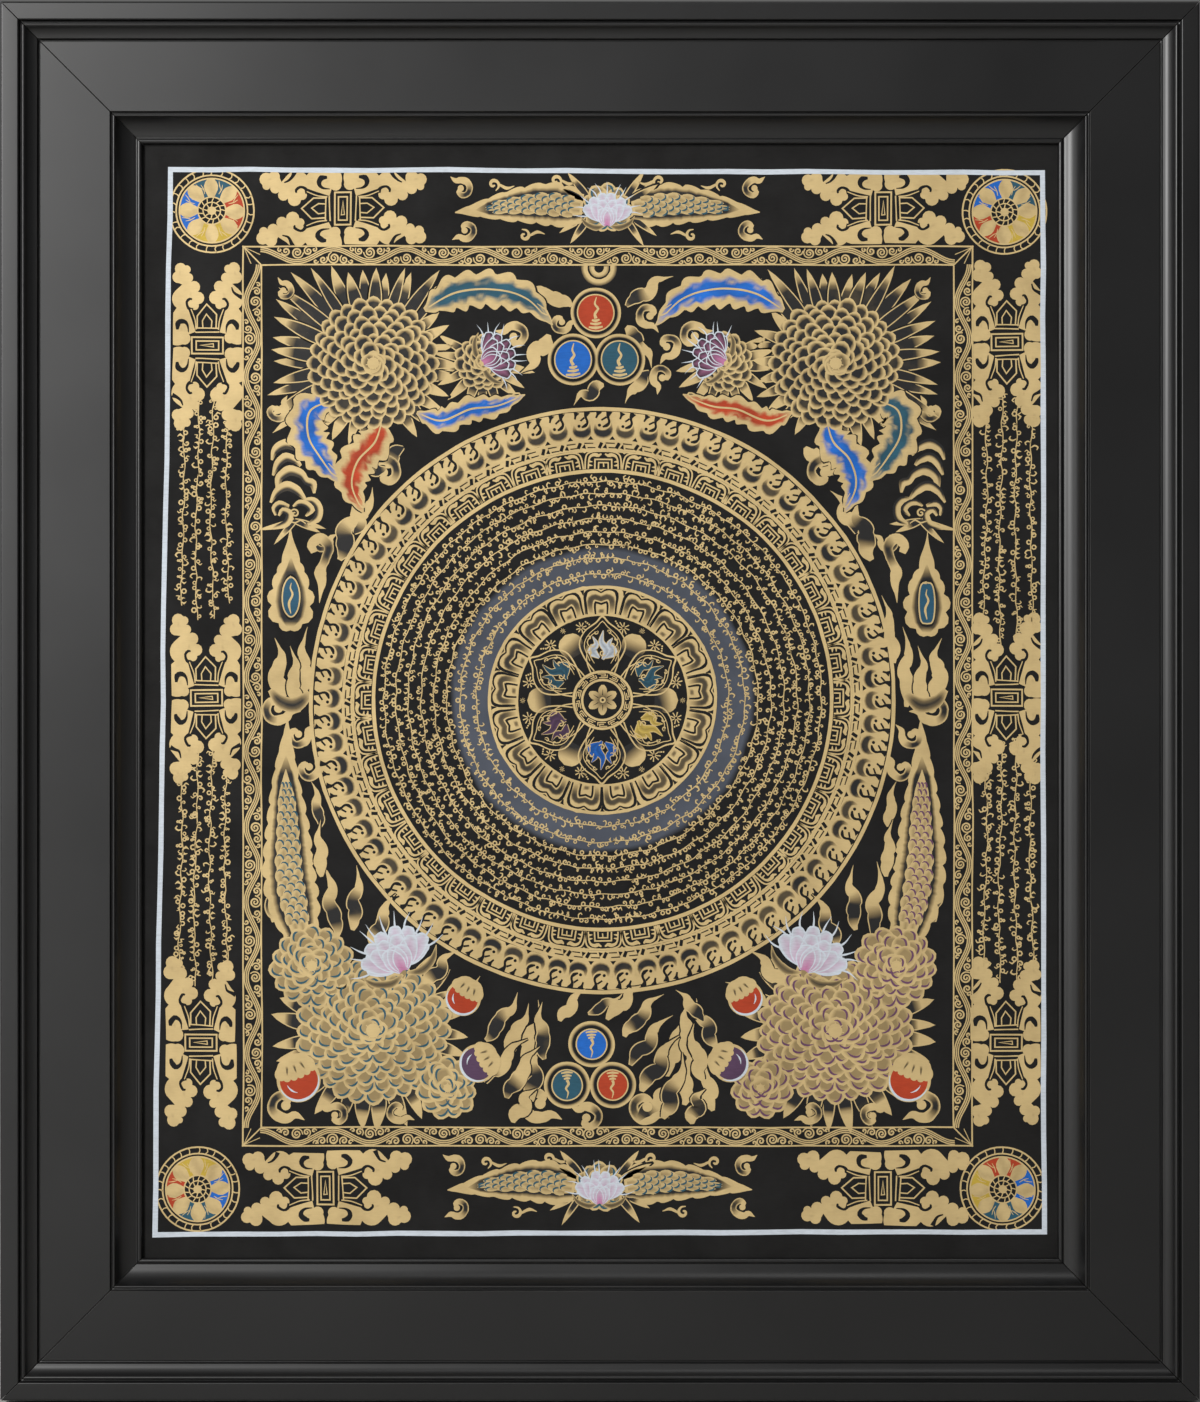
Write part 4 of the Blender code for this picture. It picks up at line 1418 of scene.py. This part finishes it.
def fruit(gold, at, radius, colour):
    """A round fruit with a pale rim below and a fringed gold cup above."""
    foot = LIGHT + 0.05
    blob(gold, 0, 0, radius * 1.16, at, foot, sides=30)
    blob(TINTS, 0, -0.2, radius, at, foot + COAT, sides=30, tone=colour)
    stroke(WHITES, arc(radius * 1.06, 95, 265, 16), (0.3, 1.1, 1.3, 1.1, 0.3), at, foot + 2 * COAT)
    stroke(WHITES, arc(radius * 0.66, 205, 265, 6), (0.2, 0.9, 0.2), at, foot + 2 * COAT)
    fringe = [(-1.08, 0.42, 0.1), (-0.74, 0.24, 0.22), (-0.38, 0.18, 0.22), (0.0, 0.15, 0.22),
              (0.38, 0.18, 0.22), (0.74, 0.24, 0.22), (1.08, 0.42, 0.1), (0.92, 0.98, 0.12),
              (0.0, 1.36, 0.12), (-0.92, 0.94, 0.12)]
    cup = scalloped([(radius * x, radius * z, swell) for x, z, swell in fringe])
    filled(gold, cup, at, foot + 3 * COAT)
    for x, z in ((-0.5, 0.62), (0.0, 0.58), (0.5, 0.62)):
        fold = [(radius * x, radius * (z - 0.2)), (radius * 0.7 * x, radius * (z + 0.3))]
        shade(gold, fold, (0.8, 1.8), 0.85, at, foot + 4 * COAT)


def scaled_leaf(gold, path, width, arcs, at, lobes=12):
    """A long leaf: a ragged gold margin, a black channel, and a tapering core of overlapping scales."""
    shape = [w * width for w in (0.66, 0.92, 1.0, 0.97, 0.90, 0.80, 0.68, 0.53, 0.38, 0.21, 0.02)]
    edge = lobed(lobes, CHANCE.random(), 0.14)
    stroke(CUTS, path, [w + BLACK_EDGE for w in shape], at, FIELD - 0.01, step=1.8, edge=edge)
    stroke(gold, path, shape, at, FIELD + 0.014, step=1.3, edge=edge)
    spine = smooth_path(placed(at, path), 4.0)
    reach = int(0.86 * len(spine))
    inner = [tuple(p) for p in spine[:reach]]
    shares = np.linspace(0, 1, len(shape))
    ground = [0.76 * w for w in np.interp(np.linspace(0, 0.86, 9), shares, shape)]
    ground[-1] = 0.0
    stroke(gold, inner, ground, lift=SHADE, step=1.8, ribs=8,
           tone=lambda a, b: SMOKE * share(8 * (1 - abs(b))) * share(9 * (1 - a)))
    core = [0.47 * w for w in np.interp(np.linspace(0, 0.78, 8), shares, shape)]
    core[-1] = 0.3
    stroke(gold, inner[:int(0.93 * len(inner))], core, lift=COLOUR, step=2.0)
    count = int(0.9 * len(inner)) - 1
    for i in range(1, count):
        wide = np.interp(i / count, np.linspace(0, 1, len(core)), core) * 0.4
        direction = spine[i + 1] - spine[i - 1]
        turn = math.degrees(math.atan2(direction[0], direction[1]))
        columns = (-0.48, 0.48) if i % 2 else (-0.92, 0.0, 0.92)
        for column in columns:
            if wide < 1.2 and column:
                continue
            place = spot(spine[i][0], spine[i][1], -turn) @ spot(column * wide, -2.0)
            half = wide * 0.56
            lift = CUT + 0.016 * ((count - i) % 3)
            patch(gold, 3, 4, scale_shape(half, 7.0), place, lift, tone=hollow(0.4, 0.5))
            rim = [(half * 0.76 * x, 3.4 + 2.7 * z) for x, z in arc(1, -45, 95, 4)]
            stroke(TINTS, rim, (0.15, 0.75, 1.0, 0.8, 0.15), place, LINE + 0.04, tone=arcs)


# ---------------------------------------------------------------- the picture's parts together

CORNER_SHIFT, SIDE_SHIFT = 4.4, 8.4   # how far the right half is from the left half's mirror image, in mm


def half_picture(mirror, shift):
    """The place of the left half's motifs, or of the right half's."""
    return spot(shift if mirror else 0, 0, mirror=mirror)


def strip_flower(gold, x, z, arcs):
    """A lotus between two long scaled leaves, in the middle of the top or bottom strip."""
    at = spot(x, z)
    for side in (-1, 1):
        half = at @ spot(0, 0, mirror=side < 0)
        leaf_fan(gold, half @ spot(6, 0), 7, 24, 36, 144, 6, 2.6)
        scaled_leaf(gold, ((13, 0), (34, 2.5), (56, 1), (80, -2)), 23, arcs, half, 7)
        for curl_x, curl_z, start in ((27, 14.5, 200), (44, -14.0, 20), (60, 12.5, 200)):
            place = half @ spot(curl_x, curl_z)
            hand = 1 if curl_z > 0 else -1
            stroke(gold, spiral(3.4, 1.15, start, hand), (0.5, 1.9, 0.9), place, FIELD, step=1.1)
            tail = [(-3.0, 0), (-7.0, -1.8 * hand), (-11.0, -0.6 * hand)]
            stroke(gold, tail, (1.2, 1.7, 0.3), place, FIELD, step=1.3)
        clouds(gold, half, ((76, 11.5, 190, -0.55), (74, -12.5, 0, 0.55)))
    bloom(gold, at, 14.5, 3, 0.95, 0.6, arcs, core=0.16)
    lotus(gold, at @ spot(0, -4.5), 0.78)


def upper_corner(gold, mirror, colours):
    """A bloom of dark petals in a fan of leaves, an open lotus, and four plumes of different colours."""
    at = half_picture(mirror, CORNER_SHIFT)
    middle_x, middle_z = -119.0, 177.0

    def to_border(turn):
        """How far a leaf may reach at this turn: to its full length, or nearly to the scroll border."""
        a = math.radians(turn)
        limits = [63.0]
        if math.sin(a) < 0:
            limits.append((173.5 + middle_x) / -math.sin(a))
        if math.cos(a) > 0:
            limits.append((226.5 - middle_z) / math.cos(a))
        return min(limits)

    middle = at @ spot(middle_x, middle_z)
    leaf_fan(gold, middle, 27, to_border, 236, 402, 21, 4.3, (0.55, 0.72))
    leaf_fan(gold, middle, 25, 46, 186, 232, 5, 4.0)
    leaf_fan(gold, middle, 25, 45, 52, 150, 9, 4.0)
    bloom(gold, middle, 36, 7, core=0.07)
    bud = at @ spot(-61, 178)
    leaf_fan(gold, bud, 9, 27, 100, 300, 11, 3.2, (0.3, 0.5))
    bloom(gold, bud, 16, 4)
    lotus(gold, bud @ spot(4, 2, -62), 0.8, tip=INK)
    plumes = ((20, ((-92, 205), (-76, 214), (-57, 216), (-39, 211), (-25, 197))),
              (21, ((-140, 158), (-152, 152), (-153, 139), (-146, 127), (-137, 115))),
              (20, ((-114, 148), (-118, 136), (-127, 126), (-130, 113), (-124, 99))),
              (14, ((-96, 151), (-83, 147), (-68, 153), (-54, 155), (-39, 161))))
    for (width, path), colour in zip(plumes, colours):
        plume(gold, path, width, colour, at)
    flames(gold, at, ((-103, 133, 22, 128, 8), (-112, 122, 20, 96, 7)))
    clouds(gold, at, ((-113, 122, 200, 0.85), (-168, 152, 90, 0.6),
                      (-45, 193, 200, 0.7), (-165, 216, 150, 0.5)))


def lower_corner(gold, mirror, arcs):
    """A great bloom, a smaller one over it, a lotus, fruits, a tall scaled leaf and flames."""
    at = half_picture(mirror, CORNER_SHIFT)
    flames(gold, at, ((-171, -116, 40, 2, 8), (-138, -124, 40, 8, 8), (-130, -120, 34, -6, 8),
                      (-146, -92, 30, 4, 7), (-147, -66, 24, 6, 6),
                      (-120, -128, 30, -22, 8), (-92, -150, 26, -38, 8), (-84, -160, 26, -58, 7)))
    tall_leaf = ((-157, -122), (-163, -92), (-164, -62), (-164.5, -36), (-164, -10))
    scaled_leaf(gold, tall_leaf, 28, arcs, at)
    great = at @ spot(-119, -173)
    leaf_fan(gold, great, 33, 54, 150, 300, 13, 4.8)
    leaf_fan(gold, great, 33, 51, 40, 130, 8, 4.4)
    bloom(gold, great, 42, 7, 0.95, 0.42, arcs, core=0.07)
    small = at @ spot(-151, -139)
    bloom(gold, small, 23, 4, 1.0, 0.40, arcs, foot=SMALL_BLOOM_FOOT)
    side_bloom = at @ spot(-80, -203)
    bloom(gold, side_bloom, 17, 3, 1.0, 0.40, arcs, foot=SMALL_BLOOM_FOOT)
    lotus(gold, at @ spot(-105, -137, 24), 1.15)
    fruits = ((-158, -199, 10.0, RED, 20), (-64, -190, 8.6, PURPLE, -60), (-72, -156, 8.2, RED, -30))
    for x, z, radius, colour, turn in fruits:
        fruit(gold, at @ spot(x, z, turn), radius, colour)
    clouds(gold, at, ((-166, -214, 0, 0.85), (-138, -216, 190, 0.6), (-106, -217, 8, 0.6)))


def upper_jewels(gold):
    """Three jewels in a triangle, among clouds and flames, under a double arch."""
    rows = ((-15, 207, 26, 64, 8), (14, 207, 29, -52, 8), (-27, 192, 25, 148, 9), (14, 196, 25, -143, 9),
            (2, 166, 19, 118, 7), (26, 173, 21, 138, 7))
    flames(gold, HERE, rows, 0.7)
    rows = ((25, 201, -25, 0.66), (37, 185, 30, -0.66), (-20, 197, 40, 0.55), (31, 170, -70, 0.6),
            (-33, 208, 120, 0.45))
    clouds(gold, HERE, rows)
    for radius, wide, tone in ((7.8, 3.4, 0.9), (3.9, 2.6, 0.5)):
        stroke(gold, arc(radius, 80, 280, 14), (wide, wide), spot(-0.5, 227.5), FIELD, step=1.5, ribs=4,
               tone=lambda a, b: tone * max(0.0, b))
    for x, z, colour in ((-14.2, 179.1, BLUE), (10.5, 179.1, TEAL), (-2.1, 203.5, RED)):
        jewel(gold, x, z, colour)


def lower_jewels(gold):
    """Three jewels in a triangle, in a bed of flames."""
    rows = ((-60, -178, 30, -38, 8), (-50, -186, 30, -28, 8), (-60, -200, 32, -40, 8),
            (-49, -208, 32, -30, 9), (-41, -192, 36, -18, 8), (-36, -210, 30, -6, 8), (-29, -188, 30, 6, 8),
            (-46, -221, 22, -30, 8),
            (-21, -168, 22, -34, 7), (-6, -164, 22, -62, 6), (4, -167, 27, -42, 7), (13, -176, 30, -38, 8),
            (16, -191, 34, -36, 8), (22, -205, 36, -30, 9), (20, -221, 28, -40, 8), (33, -219, 36, -20, 9),
            (35, -197, 32, -14, 8), (44, -212, 34, -4, 8), (46, -186, 28, 4, 8), (54, -199, 30, 14, 8),
            (59, -215, 28, 10, 8), (61, -182, 28, 26, 8), (54, -168, 22, 38, 7), (48, -222, 20, -14, 8))
    flames(gold, HERE, rows, 0.66)
    clouds(gold, HERE, ((-33, -213, 0, 0.95), (-6, -217, 180, 0.75), (24, -215, 10, 0.85)))
    for x, z, colour in ((-17.3, -201.5, TEAL), (6.8, -201.5, RED), (-4.2, -180.0, BLUE)):
        jewel(gold, x, z, colour, 180, 12.2, 8.1)


def sides(gold):
    """What stands between the mandala and the scroll border, left and right."""
    # flames and clouds at the mandala's rim are laid one by one, so that their backing stays under it
    for mirror in (False, True):
        at = half_picture(mirror, SIDE_SHIFT)
        at_rim = at @ spot(0 if mirror else -3, 0)
        flames(gold, at, ((-169, -1, 34, -2, 9), (-160, -5, 34, 1, 7.5)), 0)
        for row in ((-152.5, -3, 42, 0, 7.5), (-146, 20, 36, -8, 7))[:2 if mirror else 1]:
            flames(gold, at_rim, (row,), 0)
        shade(gold, [(-173, 6), (-168, 0), (-160, -2), (-152, 4)], (3, 7, 8, 4), 0.95, at, tier(3) + 0.014)
        for row in ((-134, 74, 34, -17, 10), (-126, 88, 26, -26, 8)):
            flames(gold, at_rim, (row,), 1)
        for row in ((-166, -6, 30, 0.8), (-154, -19, 70, 0.65), (-148, -36, 80, 0.65), (-142, 83, 60, 0.55)):
            clouds(gold, at_rim, (row,))
        hooked_drop(gold, at @ spot(-147.4, 51.5))
        cloud_stack(gold, at @ spot(-160, 99, 0, 0.98))
    drop_jewel(gold, -162.3, 54.5, False)
    drop_jewel(gold, 171.6, 51.5, True)


# ---------------------------------------------------------------- camera, light and floor

CAMERA_FAR = 2.0
PICTURE_TALL = 0.7291         # what the camera sees of the frame's front, top to bottom
DAYLIGHT = (1.0, 0.995, 0.985)
# place of each lamp from the frame's middle, its size and its power in watts
LAMPS = {"window": ((-1.42, -2.4, 1.0), (0.6, 1.1), 86),
         "ceiling": ((0.3, -1.3, 2.2), (0.9, 0.9), 7),
         "side": ((-2.3, -1.2, 0.3), (0.8, 0.8), 7)}
ROOM_LIGHT = (0.13, 0.13, 0.13)
FLOOR_COLOUR = (0.62, 0.61, 0.59)
FLOOR_GAP = 0.002             # between the frame's foot and the floor


def studio():
    centre = (cad_box[0] + cad_box[1]) / 2
    camera = bpy.data.objects.new("camera", bpy.data.cameras.new("camera"))
    camera.location = (centre.x, cad_box[0].y - CAMERA_FAR, centre.z)
    camera.rotation_euler = (math.pi / 2, 0, 0)
    camera.data.lens = camera.data.sensor_width * CAMERA_FAR / PICTURE_TALL
    bpy.context.scene.collection.objects.link(camera)
    bpy.context.scene.camera = camera

    for name, (place, size, power) in LAMPS.items():
        light = bpy.data.lights.new(name, "AREA")
        light.shape = "RECTANGLE"
        light.size, light.size_y = size
        light.energy = power
        light.color = DAYLIGHT
        lamp = bpy.data.objects.new(name, light)
        lamp.location = centre + Vector(place)
        lamp.rotation_euler = (-Vector(place)).to_track_quat("-Z", "Y").to_euler()
        bpy.context.scene.collection.objects.link(lamp)

    world = bpy.data.worlds.new("studio")
    world.use_nodes = True
    world.node_tree.nodes["Background"].inputs["Color"].default_value = (*ROOM_LIGHT, 1)
    bpy.context.scene.world = world
    bpy.context.scene.view_settings.view_transform = "Standard"

    bm = bmesh.new()
    bmesh.ops.create_grid(bm, x_segments=1, y_segments=1, size=3)
    bmesh.ops.translate(bm, verts=bm.verts, vec=(0, 0, cad_box[0].z - FLOOR_GAP))
    mesh = bpy.data.meshes.new("floor")
    bm.to_mesh(mesh)
    bm.free()
    material, _, shader = new_material("pale_floor")
    shader.inputs["Base Color"].default_value = (*FLOOR_COLOUR, 1)
    shader.inputs["Roughness"].default_value = 0.8
    mesh.materials.append(material)
    floor = bpy.data.objects.new("floor", mesh)
    bpy.context.scene.collection.objects.link(floor)
    floor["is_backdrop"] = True


# ---------------------------------------------------------------- making it all

studio()
for rail, grain_axis in GRAIN_AXES.items():
    lacquered_rail(rail, black_lacquer("lacquer_" + rail, grain_axis))
cloth = stretched_cloth(painted_cotton())

gold_material = gold_paint()
golds = [Film(name + "_gold", gold_material)
         for name in ("mandala", "row", "column", "border", "strip", "upper", "lower")]
mandala_gold, row_gold, column_gold, border_gold, strip_gold, upper_gold, lower_gold = golds

outer_rings(mandala_gold)
lotus_ring(mandala_gold)
mandala_heart(mandala_gold)
ornament_rows(row_gold)
ornament_columns(column_gold)
pale_line()
for x, z, turn, quarters in WHEELS:
    wheel(border_gold, spot(x, z, turn), quarters)
for x, z, turn in THUNDERBOLTS:
    squeeze = Matrix.Diagonal((1, 1, 0.95 if turn else 1.0, 1))
    thunderbolt(border_gold, spot(x, z, turn) @ squeeze)
scroll_border(border_gold)
strip_flower(strip_gold, 4, 258.5, TEAL_LINE)
strip_flower(strip_gold, 0, -254.5, TEAL_LINE)
upper_corner(upper_gold, False, (TEAL, BLUE, RED, BLUE))
upper_corner(upper_gold, True, (BLUE, TEAL, BLUE, RED))
upper_jewels(upper_gold)
sides(upper_gold)
lower_corner(lower_gold, False, TEAL_LINE)
lower_corner(lower_gold, True, PURPLE_LINE)
lower_jewels(lower_gold)

painted = [film.finish() for film in (*golds, CUTS, TINTS, WHITES)]

[[list(corner) for corner in box] for box in (cad_box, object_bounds())]
